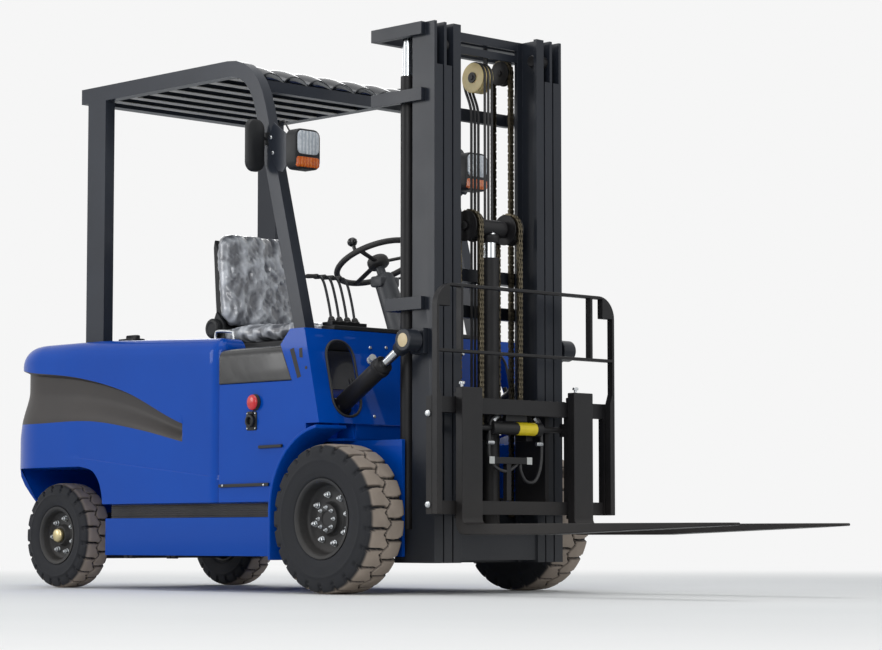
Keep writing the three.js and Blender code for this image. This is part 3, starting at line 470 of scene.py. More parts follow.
def slab(outline, centre, normal, depth, edge=1.5, upright=(0, 0, 1)):
    """A plate: the outline, in mm, in the plane square to normal, with its front edge rounded over by edge
    and its sides going back by depth. Rings shrink towards the outline's middle."""
    outline = np.asarray(outline, float)
    w = Vector(normal).normalized()
    u = Vector(upright).cross(w).normalized()
    v = w.cross(u)
    reach = np.abs(outline).max(0)
    rings = [(0.0, -depth), (0.0, -edge), (0.3, -edge * 0.3), (1.0, 0.0)]
    flat = [np.concatenate([outline * (1 - edge * inward / reach), np.full((len(outline), 1), level)], 1)
            for inward, level in rings]
    local = np.array(flat) * MM
    return capped(np.asarray(centre) + local[..., :1] * u + local[..., 1:2] * v + local[..., 2:] * w)


def plate(outline, axis, a, b):
    """An outline in the plane of the other two axes, in x, y, z order, carried from a to b along axis."""
    layers = np.zeros((2, len(outline), 3))
    layers[:, :, [i for i in range(3) if i != axis]] = np.asarray(outline, float)
    layers[0, :, axis], layers[1, :, axis] = a, b
    return capped(layers)


def prism(outline, axis, a, b):
    """Such a plate, put in its place."""
    points, faces = plate(outline, axis, a, b)
    return placed(points), faces


def block(x, y, z):
    """A plain box between two places on each axis."""
    return prism([(x[0], y[0]), (x[1], y[0]), (x[1], y[1]), (x[0], y[1])], 2, *z)


# %% [markdown]
# ## From arrays to a piece
#
# A piece is a mesh that lies in place, with its object at the origin. Doubled points are merged, which
# closes seams and poles, and the faces are turned to point outwards. It then rides on a body of the
# frame, says which finish it has, and may stand for a node of the frame.

# %% Making a piece
def dress(name, mesh, material, body, node, smooth, bevel, segments):
    """An object with its material, soft shading across edges flatter than smooth degrees, and its body."""
    obj = bpy.data.objects.new(name, mesh)
    scene.collection.objects.link(obj)
    mesh.materials.clear()
    mesh.materials.append(material)
    mesh.polygons.foreach_set("use_smooth", np.ones(len(mesh.polygons), bool))
    mesh.set_sharp_from_angle(angle=math.radians(smooth))
    if bevel:
        edge = obj.modifiers.new("rounded_edges", "BEVEL")
        edge.width = bevel * MM
        edge.segments = segments
        edge.limit_method = "ANGLE"
        edge.angle_limit = math.radians(smooth)
        edge.harden_normals = True
        edge.use_clamp_overlap = True
    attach(obj, body)
    if node:
        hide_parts(node)
    return obj


def make(name, shape, material, body="root", smooth=35, bevel=0.0, segments=2, node=None,
         values=None):
    """Puts a shape's arrays into a new mesh, with any values for its points as attributes, and dresses it."""
    points, faces = shape
    mesh = bpy.data.meshes.new(name)
    mesh.from_pydata(points.tolist(), [], [f for group in faces for f in group.tolist()])
    for attribute, numbers in (values or {}).items():
        layer = mesh.attributes.new(attribute, "FLOAT", "POINT")
        layer.data.foreach_set("value", numbers.ravel().astype(np.float32))
    work = bmesh.new()
    work.from_mesh(mesh)
    bmesh.ops.remove_doubles(work, verts=work.verts, dist=1e-6)
    bmesh.ops.dissolve_degenerate(work, edges=work.edges, dist=1e-7)
    bmesh.ops.recalc_face_normals(work, faces=work.faces)
    work.to_mesh(mesh)
    work.free()
    return dress(name, mesh, material, body, node, smooth, bevel, segments)


def refinished(node, name, material, bevel, smooth=35, segments=2):
    """A copy of a frame node with its triangles merged into flat faces and its edges rounded by bevel mm."""
    source = frame["nodes"][node]
    mesh = source.data.copy()
    work = bmesh.new()
    work.from_mesh(mesh)
    bmesh.ops.remove_doubles(work, verts=work.verts, dist=1e-5)
    bmesh.ops.dissolve_limit(work, angle_limit=math.radians(1.0), verts=work.verts, edges=work.edges)
    work.to_mesh(mesh)
    work.free()
    return dress(name, mesh, material, source["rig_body"], node, smooth, bevel, segments)


# %% [markdown]
# ## Plain pieces of plate and tube
#
# Sheared plate, bent sheet and drawn tube have the right shape already. What they lack is the small
# radius that a grinder and three coats of paint leave on each edge, which is what catches the light.
# Each is copied, its triangles are merged into flat faces, and a bevel rounds its edges.

# %% Sheet, tube and castings
for node, name, material, bevel, segments in (
        ("chassis_frame", "chassis_weldment", blue_enamel, 3, 2),
        ("battery_block", "battery_case", black_abs, 6, 2),
        ("side_panel_right", "side_panel_right_sheet", blue_enamel, 3, 2),
        ("side_panel_left", "side_panel_left_sheet", blue_enamel, 3, 2),
        ("side_cover_right", "side_cover_right_shell", glossy_abs, 5, 3),
        ("fender_right", "fender_right_sheet", blue_enamel, 5, 3),
        ("fender_left", "fender_left_sheet", blue_enamel, 5, 3),
        ("front_cowl", "front_cowl_sheet", blue_enamel, 3, 2),
        ("dash_panel", "dash_panel_moulding", black_abs, 5, 3),
        ("hood", "hood_moulding", glossy_abs, 6, 3),
        ("seat_base", "seat_slide", black_abs, 4, 2),
        ("drive_axle", "drive_axle_casting", frame_black, 4, 2),
        ("steer_axle", "steer_axle_casting", frame_black, 4, 2),
        ("knuckle_right", "knuckle_right_casting", frame_black, 2, 2),
        ("knuckle_left", "knuckle_left_casting", frame_black, 2, 2),
        ("overhead_guard", "overhead_guard_tube", guard_enamel, 7, 4),
        ("outer_mast", "outer_mast_section", mast_enamel, 2.5, 2),
        ("middle_mast", "middle_mast_section", mast_enamel, 2.5, 2),
        ("inner_mast", "inner_mast_section", mast_enamel, 2.5, 2),
        ("carriage", "carriage_weldment", fork_enamel, 2.5, 2),
        ("side_shift_frame", "side_shift_weldment", fork_enamel, 3, 2),
        ("load_backrest", "load_backrest_flat_bar", fork_enamel, 2.5, 2)):
    refinished(node, name, material, bevel, segments=segments)
for side, out in SIDES:
    refinished(f"fork_{side}", f"fork_{side}_forging", fork_enamel, 4, segments=3)
    refinished(f"lift_barrel_{side}", f"lift_barrel_{side}_tube", fork_enamel, 1.5, smooth=50)
    refinished(f"lift_rod_{side}", f"lift_rod_{side}_shaft", chrome_rod, 1, smooth=50)
refinished("free_lift_barrel", "free_lift_tube", fork_enamel, 1.5, smooth=50)

# %% [markdown]
# ## The studio
#
# A pale floor, a large soft light overhead, and four broad lights around the truck. The camera and every
# mirror see a near white surround, while the light that falls on the truck stays at a plain level.

# %% Floor
WHITE = linear("#f6f6f6")


def floor_paint():
    """Pale matt paint that turns into the surround's own white, for the camera, 3 to 8 m from the truck."""
    material = finish("pale_floor_paint", None, "#ececea", "#f2f2f0", (0.7, 0.8), 900, 20, 0.01)
    tree = material.node_tree
    place = add(tree, "ShaderNodeTexCoord").outputs["Object"]
    distance = add(tree, "ShaderNodeVectorMath", {"operation": "LENGTH"}, {0: place}).outputs["Value"]
    seen = add(tree, "ShaderNodeLightPath").outputs["Is Camera Ray"]
    share = reckoned(tree, "MULTIPLY", ranged(tree, distance, 0.0, 1.0, 3.0, 8.0, "SMOOTHSTEP"), seen)
    glow = add(tree, "ShaderNodeEmission", inputs={"Color": WHITE, "Strength": 1.0}).outputs[0]
    paint = tree.nodes["Principled BSDF"].outputs[0]
    both = add(tree, "ShaderNodeMixShader", inputs={0: share, 1: paint, 2: glow}).outputs[0]
    tree.links.new(both, tree.nodes["Material Output"].inputs["Surface"])
    return material


half, level = 60.0, -0.0005  # metres: the plane lies half a millimetre under the wheels
mesh = bpy.data.meshes.new("studio_floor")
corners = [(a * half, b * half, level) for a, b in ((-1, -1), (1, -1), (1, 1), (-1, 1))]
mesh.from_pydata(corners, [], [[0, 1, 2, 3]])
mesh.materials.append(floor_paint())
floor = bpy.data.objects.new("studio_floor", mesh)
scene.collection.objects.link(floor)


# %% Lights and surround
def soft_light(name, place, target, size, power):
    """A square area light of size metres at place, turned to face target."""
    data = bpy.data.lights.new(name, "AREA")
    data.shape = "SQUARE"
    data.size = size
    data.energy = power
    light = bpy.data.objects.new(name, data)
    light.location = place
    light.rotation_euler = (Vector(target) - Vector(place)).to_track_quat("-Z", "Y").to_euler()
    scene.collection.objects.link(light)


soft_light("overhead_light", (0.5, -1.0, 6.5), (0, 0, 0.5), 5.0, 150)
soft_light("camera_side_light", (5.5, -7.5, 3.6), (0, 0, 0.9), 3.5, 190)
soft_light("right_side_light", (-5.0, -6.5, 3.0), (-0.5, 0, 0.8), 3.0, 130)
soft_light("front_light", (8.0, 2.5, 2.6), (0.3, 0, 1.0), 3.0, 80)
soft_light("rear_light", (-6.5, 5.5, 4.0), (-0.5, 0, 1.0), 3.5, 120)

scene.world = bpy.data.worlds.new("surround")
scene.world.use_nodes = True
tree = scene.world.node_tree
tree.nodes.clear()
rays = add(tree, "ShaderNodeLightPath").outputs
seen = reckoned(tree, "MAXIMUM", rays["Is Camera Ray"], rays["Is Transmission Ray"])
seen = reckoned(tree, "MAXIMUM", seen, rays["Is Glossy Ray"])
lit = add(tree, "ShaderNodeBackground", inputs={"Color": linear("#dfe6ee"), "Strength": 0.42})
white = add(tree, "ShaderNodeBackground", inputs={"Color": WHITE, "Strength": 1.0})
both = add(tree, "ShaderNodeMixShader", inputs={0: seen, 1: lit.outputs[0], 2: white.outputs[0]})
add(tree, "ShaderNodeOutputWorld", inputs={"Surface": both.outputs[0]})
scene.view_settings.view_transform = "Standard"

# %% [markdown]
# ## The counterweight's shape
#
# The counterweight is one iron casting, filled, sanded and sprayed like a car body. Its skin is a grid:
# one direction runs round the outline seen from above, the other climbs from the lower edge over the
# rounded shoulder. Curves drawn on the side, such as the top and bottom of the long hollow, become rows
# of the grid, so their edges stay crisp.

# %% Lines on the body's side
SIDE = 600.0  # half width of the body
WING_FRONT, WING_INNER, WING_SOLE = 650.0, 455.0, 361.0
DECK_FRONT = 1320.0
REAR_CORNER, FRONT_CORNER = 400.0, 55.0
BUMPER = -span("counterweight")[0][0]
CORNER_START = BUMPER - REAR_CORNER
POCKET_END = 2144.0  # where the arch over the rear wheel ends, behind it
POCKET_ANGLE = math.asin((POCKET_END - CORNER_START) / REAR_CORNER)
HOLLOW_TIP, HOLLOW_DEPTH = 888.0, 30.0
ARCH = ((1424, WING_SOLE), (1430, 400), (1452, 458), (1500, 505), (1588, 525))


def line_through(*points):
    """A height for each distance behind the axle, along a Catmull-Rom curve through (distance, height)."""
    curve = smooth_path([(a, z, 0) for a, z in points], 10)
    return lambda a: np.interp(a, curve[:, 0], curve[:, 1])


def step(value, start, end):
    """0 before start and 1 after end, with the smooth cubic 3t^2 - 2t^3 between."""
    t = np.clip((np.asarray(value, float) - start) / (end - start), 0, 1)
    return t * t * (3 - 2 * t)


hollow_top = line_through((600, 655), (888, 690), (1262, 832), (1594, 907), (1915, 942), (2250, 970),
                          (3000, 970))
hollow_foot = line_through((600, 560), (904, 618), (1189, 674), (1529, 719), (1912, 719), (2250, 722),
                           (3000, 722))
crease = line_through((600, 459), (673, 466), (1200, 519), (1704, 569), (2250, 572), (3000, 572))


def lower_edge(a):
    """The wing stands on the sill, then rises in a curve over the rear wheel, and drops behind it."""
    height = line_through(*ARCH)(a)
    return np.where(a > CORNER_START + REAR_CORNER * POCKET_ANGLE, 297.0, height)


def upper_edge(x):
    """The deck is level over the mass and falls a little towards the front of the wings."""
    return 1068.0 - 32.0 * np.clip((1520.0 - x) / 840.0, 0, 1)


# %% Stations round the outline
def beside(*columns):
    """Columns put side by side; a single number is repeated down its column."""
    return np.stack(np.broadcast_arrays(*columns), 1)


def outline_stations():
    """Half the outline from above: along the wing's front edge, round its corner, back along the side and
    round the rear corner to the middle. Columns: x, y, outward x, outward y, distance along the side."""
    front = np.linspace(WING_INNER, SIDE - FRONT_CORNER, 5)
    bend = np.linspace(0, np.pi / 2, 9)[1:]
    inset = FRONT_CORNER * (1 - np.cos(bend))
    marks = [WING_FRONT + FRONT_CORNER + 10, HOLLOW_TIP - 2, HOLLOW_TIP + 12, HOLLOW_TIP + 26, DECK_FRONT,
             ARCH[0][0], 1470, ARCH[-1][0], CORNER_START]
    counts = [16, 2, 2, 22, 6, 8, 10, 26]
    side = np.concatenate([np.linspace(p, q, n, endpoint=False) for p, q, n in zip(marks, marks[1:], counts)])
    turn = np.sort(np.append(np.linspace(0, np.pi / 2, 37), [POCKET_ANGLE - 0.0005, POCKET_ANGLE + 0.0005]))
    back = np.linspace(SIDE - REAR_CORNER, 0, 12)[1:]
    return np.concatenate([
        beside(-WING_FRONT, front, 1, 0, WING_FRONT),
        beside(-WING_FRONT - inset, SIDE - FRONT_CORNER * (1 - np.sin(bend)), np.cos(bend), np.sin(bend),
               WING_FRONT + inset),
        beside(-side, SIDE, 0, 1, side),
        beside(-CORNER_START - REAR_CORNER * np.sin(turn), SIDE - REAR_CORNER * (1 - np.cos(turn)),
               -np.sin(turn), np.cos(turn), CORNER_START + REAR_CORNER * turn),
        beside(-BUMPER, back, -1, 0, CORNER_START + REAR_CORNER * (np.pi / 2 - 1) + SIDE - back)])


stations = outline_stations()
print("stations round half the body:", len(stations))


# %% Heights and hollow of the skin
CREASE_ROW, FOOT_ROW = 8, 18  # rows of the grid at the crease and at the foot of the hollow


def body_skin(half):
    """Point = outline - (hollow + tuck) outward, at row heights that follow the side's curves; the shoulder
    rows turn over in a quarter circle. The rear leans in above the bumper and below it."""
    x, y, nx, ny, a = [c[:, None] for c in half.T]
    low, mark, foot, top = lower_edge(a), crease(a), hollow_foot(a), hollow_top(a)
    mark = np.maximum(mark, low + 12)
    radius = np.where(nx > 0, FRONT_CORNER - 3 + 18 * ny, 70 + 40 * np.clip(-nx, 0, 1))
    deck = upper_edge(np.clip(-x, 0, 1520))
    shoulder = deck - radius
    rise = np.linspace(0, 1, 8)[None]
    v = np.concatenate([np.linspace(0, 0.9, 18), np.linspace(0.92, 1.0, 7)])[None]
    belt = np.linspace(0, 1, FOOT_ROW - CREASE_ROW, endpoint=False)[None]
    heights = np.concatenate([low + (mark - 2 - low) * rise, mark + 1 + (foot - mark - 1) * belt,
                              foot + (top - foot) * v, top + (shoulder - top) * rise[:, 1:-1]], 1)
    ledge = 3.0 * step(a, 640, 700) * (1 - step(a, 1560, 1704))
    inward = np.zeros_like(heights)
    inward[:, CREASE_ROW:] += ledge
    scoop = step(v, 0.0, 0.62) * (1 - step(v, 0.93, 1.0))
    in_rows = slice(FOOT_ROW, FOOT_ROW + v.shape[1])
    inward[:, in_rows] += HOLLOW_DEPTH * step(a, HOLLOW_TIP, HOLLOW_TIP + 16) * scoop
    bend = np.linspace(0, np.pi / 2, 10)[None]
    heights = np.concatenate([heights, shoulder + radius * np.sin(bend)], 1)
    inward = np.concatenate([inward, ledge + radius * (1 - np.cos(bend))], 1)
    back = np.clip(-nx, 0, 1)
    inward = inward + 130 * (1 - step(heights, 270, 520)) * step(back, 0.3, 0.68)
    px = x - nx * inward + back ** 2 * 57 * step(heights, 650, 770)
    py = y - ny * inward
    return np.stack([px, py, heights], -1)


# %% Close the skin and make the piece
def mirrored(points):
    """The same points on the truck's other side: y changes its sign."""
    return points * (1, -1, 1)


def bridge(one, other, count):
    """Rows of points spaced evenly between two lines."""
    t = np.linspace(0, 1, count)[None, :, None]
    return one[:, None] * (1 - t) + other[:, None] * t


def body_shape():
    """Skin on both sides, a deck and an underside bridged from side to side, and the wings' inner walls."""
    skin = body_skin(stations)
    whole = np.concatenate([mirrored(skin), skin[::-1][1:]])
    mass = stations[:, 0] <= -DECK_FRONT + 1e-6
    wing = stations[:, 0] >= -DECK_FRONT - 1e-6
    deck = bridge(mirrored(skin[mass, -1]), skin[mass, -1], 9)
    under = bridge(mirrored(skin[mass, 0]), skin[mass, 0], 9)
    parts = [whole, deck, under]
    for flip in (1, -1):
        rim = skin[wing, -1]
        ridge = np.stack([rim[:, 0], WING_INNER + 0 * rim[:, 0], rim[:, 2]], 1)
        foot = ridge * (1, 1, 0) + (0, 0, WING_SOLE)
        walls = bridge(rim, ridge, 4), bridge(ridge, foot, 4), bridge(skin[wing, 0], foot, 2)
        parts += [part * (1, flip, 1) for part in walls]
    y = np.linspace(-WING_INNER, WING_INNER, 9)
    front_top = np.stack([-DECK_FRONT + 0 * y, y, upper_edge(DECK_FRONT) + 0 * y], 1)
    parts.append(bridge(front_top, front_top * (1, 1, 0) + (0, 0, WING_SOLE), 3))
    return joined(*[grid(placed(part)) for part in parts])


counterweight = make("counterweight_casting", body_shape(), blue_enamel, smooth=40, node="counterweight")
counterweight.data.materials.append(hollow_enamel)
middles = np.zeros(len(counterweight.data.polygons) * 3)
counterweight.data.polygons.foreach_get("center", middles)
x, y, z = middles.reshape(-1, 3).T / MM
x = AXLE_X / MM - x
turn = np.arctan2(np.clip(x - CORNER_START, 0, None), np.clip(np.abs(y) - (SIDE - REAR_CORNER), 1, None))
along = np.where(x > CORNER_START, CORNER_START + REAR_CORNER * turn, x)
in_hollow = ((along > HOLLOW_TIP) & (z > hollow_foot(along)) & (z < hollow_top(along))
             & ((np.abs(y) > WING_INNER + 20) | (x > CORNER_START)))
counterweight.data.polygons.foreach_set("material_index", in_hollow.astype(np.int32))
print("counterweight faces", len(x), "of them in the hollow", int(in_hollow.sum()))

# %% [markdown]
# ## Steer axle hangers
#
# Two cast lugs hang from the mass and carry the steer axle's trunnions.

# %% Hangers
REAR_AXLE = sum(span("steer_axle")[0]) / 2
hangers = [block((x - 16, x + 16), (-58, 58), (200, 530)) for x in (REAR_AXLE - 134, REAR_AXLE + 134)]
make("steer_axle_hangers", joined(*hangers), frame_black, bevel=4)

# %% [markdown]
# ## Tyres
#
# These are solid industrial tyres with two staggered rows of six-sided lugs. A tyre's surface is its
# profile turned round the axle, and the tread is cut into it: where a groove runs, the radius is less.
# Grooves are distances on the unrolled tread, counted in lugs round it and in half widths across it.

# %% Tread and profile
GROOVE = 7  # mm, doubled on the crown


def tread(turn, across, lugs):
    """How deep the tread is cut, 0 to 1. A zigzag groove runs round the middle; at each lug's end a cross
    groove runs out to the shoulder and widens there. One row of lugs stands half a lug ahead of the other."""
    s = turn * lugs + np.where(across > 0, 0.0, 0.5)
    swing = 0.17 * (2 * np.abs(2 * ((turn * lugs + 0.25) % 1) - 1) - 1)
    middle = 1 - step(np.abs(across - swing), 0.022, 0.055)
    place = np.abs((s + 0.04 * np.sin(across * 4)) % 1 - 0.5)
    reach = np.abs(across - swing)
    width = 0.022 + 0.1 * step(reach, 0.5, 1.05)
    cross = 1 - step(0.5 - place, width, width + 0.03)
    return np.maximum(middle, cross)


def tyre_profile(radius, width, bead):
    """Half profiles of (radius, distance): bead, wall with a slight belly and a ring, shoulder, tread."""
    half, rise = width / 2, radius - bead
    wall = [(bead, half - 16), (bead + 9, half - 14), (bead + 14, half - 9), (bead + 0.25 * rise, half - 5),
            (bead + 0.5 * rise, half - 2), (bead + 0.55 * rise, half), (bead + 0.6 * rise, half - 2.5)]
    shoulder = [(radius - 42, half - 4), (radius - 26, half - 6), (radius - 12, half - 10),
                (radius - 5, half - 17), (radius - 2, half - 26)]
    crown = [(radius - 0.6, half * 0.55), (radius - 0.1, half * 0.25)]
    one = wall + shoulder + crown
    return np.array(one + [(r, -y) for r, y in reversed(one)] + [(bead, 0.0)])


def resampled(profile, count):
    """The closed profile again, with count points spaced evenly along it."""
    loop = np.concatenate([profile, profile[:1]])
    length = np.concatenate([[0], np.cumsum(np.linalg.norm(np.diff(loop, axis=0), axis=1))])
    at_length = np.linspace(0, length[-1], count, endpoint=False)
    return np.stack([np.interp(at_length, length, loop[:, k]) for k in (0, 1)], 1)


def tyre(end, side, lugs, bead):
    """Point = centre + (radius - cut) round the axle, at the profile's distance along it."""
    node = f"{end}_tyre_{side}"
    (x0, x1), (y0, y1), (z0, z1) = span(node)
    radius, width = (z1 - z0) / 2, y1 - y0
    r, y = resampled(tyre_profile(radius, width, bead), 132).T
    turn = np.linspace(0, 1, lugs * 16, endpoint=False)[:, None]
    depth = tread(turn, (y / (width / 2 - 8))[None], lugs) * step(r, radius - 46, radius - 20)[None]
    top = step(r, radius - 30, radius - 6)[None]
    radial = r[None] - depth * GROOVE * (1 + top)
    lateral = np.sign(y)[None] * (np.abs(y)[None] - depth * (1 - top) * GROOVE)
    angle = 2 * np.pi * turn
    middle = ((x0 + x1) / 2, (y0 + y1) / 2, (z0 + z1) / 2)
    points = np.stack([radial * np.cos(angle), lateral + 0 * angle, radial * np.sin(angle)], -1)
    worn = step(radial, radius - 7, radius - 2.5) * (1 - step(np.abs(lateral), width / 2 - 13, width / 2 - 8))
    return make(f"{node}_tread", grid(placed(points + middle), around=True, along=True), tyre_black,
                f"{end}_wheel_{side}", smooth=50, node=node, values={"tread": worn})


for side, out in SIDES:
    front_tyre = tyre("front", side, 22, 150)
    tyre("rear", side, 20, 118)
print("front tyre faces", len(front_tyre.data.polygons))

# %% [markdown]
# ## Rims, nuts and hub caps
#
# A rim is a spun steel dish, so it is a turned profile. Zinc-plated wheel nuts stand on a circle in it,
# each a six-sided nut on a short stud with a washer. The rear hubs end in a pale grease cap.

# %% Wheel nuts
def nut_shape(size, height, stud):
    """A washer, a six-sided nut with a broken edge and the end of its stud, standing up along +Z."""
    base, upward = np.zeros(3), (0, 0, 1)
    washer = turned(drum(size * 1.15, 0, 2), base, upward, 16)
    levels = [(1.0, 2), (1.0, height), (0.82, height + 1.5)]
    rings = np.array([np.concatenate([circle(size * k, 6), np.full((6, 1), h)], 1) for k, h in levels]) * MM
    points, faces = grid(rings, around=True)
    nut = points, faces + [12 + np.arange(6)[None]]
    end = [(0, height), (stud, height), (stud, height + 7), (stud - 1.5, height + 8.5), (0, height + 8.5)]
    return joined(washer, nut, turned(end, base, upward, 12))


def circle_of(shape, centre, direction, radius, count, turn=0.0):
    """The shape repeated on a circle of radius mm round a direction, standing up along it."""
    u, v, w = basis(direction)
    angle = np.linspace(0, 2 * np.pi, count, endpoint=False) + turn
    matrices = np.tile(np.eye(4), (count, 1, 1))
    matrices[:, :3, 0], matrices[:, :3, 1], matrices[:, :3, 2] = u, v, w
    arm = np.cos(angle)[:, None] * u + np.sin(angle)[:, None] * v
    matrices[:, :3, 3] = np.asarray(centre) + arm * radius * MM
    return copies(shape, matrices)


# %% Rims
def rim(end, side, out, profile, *rings):
    """The dish with its lips and its rings of nuts; distances run outwards from the wheel's middle.
    A ring is (radius, level, count, first angle, nut)."""
    node, body = f"{end}_rim_{side}", f"{end}_wheel_{side}"
    (x0, x1), (y0, y1), (z0, z1) = span(f"{end}_tyre_{side}")
    centre, direction = at((x0 + x1) / 2, (y0 + y1) / 2, (z0 + z1) / 2), Vector((0, out, 0))
    make(f"{node}_dish", turned(profile, centre, direction, 64), frame_black, body, smooth=40, node=node)
    nuts = [circle_of(nut_shape(*size), centre + direction * level * MM, direction, radius, count, first)
            for radius, level, count, first, size in rings]
    make(f"{node}_nuts", joined(*nuts), zinc_steel, body, smooth=30)
    return centre, direction


front_profile = [(0, 20), (141, 20), (141, -91), (149, -91), (149.6, -84), (149.6, 82), (150.6, 84.6),
                 (157, 84.6), (158, 88), (157, 91), (150, 91), (144, 88), (139, 78), (136, 46), (132, 38),
                 (124, 34), (72, 34), (66, 37), (60, 50), (58, 60), (54, 62), (30, 62), (28, 58), (0, 58)]
rear_profile = [(0, 8), (109, 8), (109, -66), (117, -66), (117.6, -60), (117.6, 57), (118.6, 59.6),
                (125, 59.6), (126, 63), (125, 66), (118, 66), (112, 63), (107, 54), (104, 32), (100, 25),
                (92, 22), (52, 22), (47, 26), (43, 44), (40, 47), (0, 47)]
dome = [(0, 46), (30, 46), (32, 48), (32, 56), (29, 64), (22, 69), (12, 71.5), (0, 72)]
BIG_NUT, SMALL_NUT = (11, 12, 6.5), (6.5, 6, 3.5)
for side, out in SIDES:
    centre, way = rim("front", side, out, front_profile, (96, 34, 8, 0.2, BIG_NUT),
                      (44, 62, 8, 0.0, SMALL_NUT))
    valve = bar(centre + Vector((118, out * 30, -34)) * MM, centre + Vector((112, out * 66, -34)) * MM, 4)
    make(f"front_valve_{side}", valve, zinc_steel, f"front_wheel_{side}")
    centre, way = rim("rear", side, out, rear_profile, (74, 22, 7, 0.2, BIG_NUT))
    make(f"rear_grease_cap_{side}", turned(dome, centre, way, 40), brass_cap, f"rear_wheel_{side}", smooth=60)


def screw_heads(places, direction, radius=6.0):
    """Low domed heads, turned, at each place."""
    head = [(0, 0), (radius, 0), (radius, radius * 0.35), (radius * 0.75, radius * 0.7), (0, radius * 0.8)]
    return joined(*[turned(head, p, direction, 16) for p in places])


# %% [markdown]
# ## The seat in its film
#
# A new truck comes with its seat still in a loose clear film. The pad below is a crowned cushion. The
# film over it has long soft folds and many short sharp creases, so its surface is the cushion's with
# ridges added: each ridge is one minus the size of a sine, along its own direction, and the directions
# are bent by a slower wave. The height of the folds is kept as an attribute, because film looks milky
# where it stands off the vinyl and dark where it lies on it; the pale ridges are also a painted highlight.

# %% Creases
def creases(p, q, seed, coarse=160.0, fine=20.0, count=20):
    """Sum of tents (1 - |sin|)^1.3 in p and q mm, from coarse to fine wavelengths, weighted by wavelength,
    then scaled to a mean of 0.45 and a spread of 0.2 within 0 to 1."""
    rng = np.random.default_rng(seed)
    total, weight = 0.0, 0.0
    for wave in np.geomspace(coarse, fine, count):
        angle, phase, bend = rng.normal(0, 0.55), rng.uniform(0, 6.28), rng.uniform(0, 6.28)
        run = p * np.cos(angle) + q * np.sin(angle)
        cross = q * np.cos(angle) - p * np.sin(angle)
        bent = np.pi * run / wave + 0.9 * np.sin(cross / (0.5 * wave) + bend) + phase
        ridge = (1 - np.abs(np.sin(bent))) ** 1.3
        gate = 0.5 + 0.5 * np.sin(cross / (0.8 * wave) + run / (1.7 * wave) + bend)
        total, weight = total + ridge * gate * wave ** 0.7, weight + 0.5 * wave ** 0.7
    level = total / weight
    return np.clip(0.45 + 0.2 * (level - level.mean()) / level.std(), 0, 1)


def film_material():
    """Polyethylene film over black vinyl: the fold attribute turns it from dark to milky, which also paints a
    highlight on the ridges, and the film's gloss lies over both as a coat."""
    material, tree, place = start("clear_film_over_vinyl", "seat_cover")
    fold = add(tree, "ShaderNodeAttribute", {"attribute_name": "fold"}).outputs["Fac"]
    haze = noise(tree, place, 130, 10.0, Distortion=2.2)
    # Painted highlight: the higher a fold stands, the paler this ramp makes it, beyond the film's real
    # milkiness.
    ramp = add(tree, "ShaderNodeValToRGB", inputs={0: reckoned(tree, "MULTIPLY_ADD", haze, 0.45, fold)})
    for element, position, colour in zip(ramp.color_ramp.elements, (0.45, 0.98), ("#66686e", "#cdd0d5")):
        element.position, element.color = position, linear(colour)
    fine = noise(tree, place, 22, 4.0, {"noise_type": "RIDGED_MULTIFRACTAL"})
    shade(tree, ramp.outputs[0], ranged(tree, haze, 0.25, 0.5), bumped(tree, fine, 0.9, 0.7), 1.51,
          coat=(0.9, 0.12))
    return material


film = film_material()


# %% Cushions
def pad_shape(outline, bulge_front, bulge_back, seed, depth, rings=46):
    """A pillow as rings that shrink from the outline to its middle on both faces. At ring r the face stands
    bulge * (1 - r^7)^0.42 off the middle plane, plus depth times the creases. Returns u, v, w and folds."""
    outline = resampled(outline, 260)
    quarter = np.pi / 2
    r = np.sin(np.concatenate([np.linspace(0, quarter, rings), np.linspace(quarter, 0, rings // 2)[1:]]))
    face = np.concatenate([np.ones(rings), -np.ones(rings // 2 - 1)])
    u = outline[None, :, 0] * r[:, None]
    v = outline[None, :, 1] * r[:, None]
    crown = np.clip(1 - r ** 7, 0, 1) ** 0.42
    folds = creases(u + 30 * face[:, None], v, seed)
    pull = np.clip(1 - r, 0, 1)[:, None] ** 0.3
    w = np.where(face > 0, bulge_front * crown, -bulge_back * crown)[:, None]
    w = w + face[:, None] * (folds - 0.35) * depth * (0.4 + 0.6 * pull)
    stretch = 1 + (folds - 0.4) * 0.02
    return u * stretch, v * stretch, w, folds


def film_pad(name, node, points, folds):
    """The pad with its fold heights as an attribute, standing for the frame's plain solid."""
    obj = make(name, grid(placed(points), around=True), film, "hood", smooth=24, node=node,
               values={"fold": folds})


(bx0, _), (by0, by1), (bz0, bz1) = span("seat_back")
u, v, w, folds = pad_shape(rounded_outline(by1 - by0 - 8, bz1 - bz0 - 6, 52, 30), 50, 44, 11, 26.0)
height = (v - v.min()) / (v.max() - v.min())
u = u * (1 + 0.05 * np.sin(np.pi * height) - 0.06 * height)
points = np.stack([bx0 + 106 - 54 * height + w, u, (bz0 + bz1) / 2 + v], -1)
film_pad("seat_back_in_film", "seat_back", points, folds)

(cx0, cx1), (cy0, cy1), (cz0, cz1) = span("seat_cushion")
u, v, w, folds = pad_shape(rounded_outline(cx1 - cx0 - 8, cy1 - cy0 - 8, 70, 24), 36, 38, 5, 22.0)
film_pad("seat_cushion_in_film", "seat_cushion",
         np.stack([(cx0 + cx1) / 2 + u, v, (cz0 + cz1) / 2 - 1 + w], -1), folds)
print("seat pads", len(u), "rings")

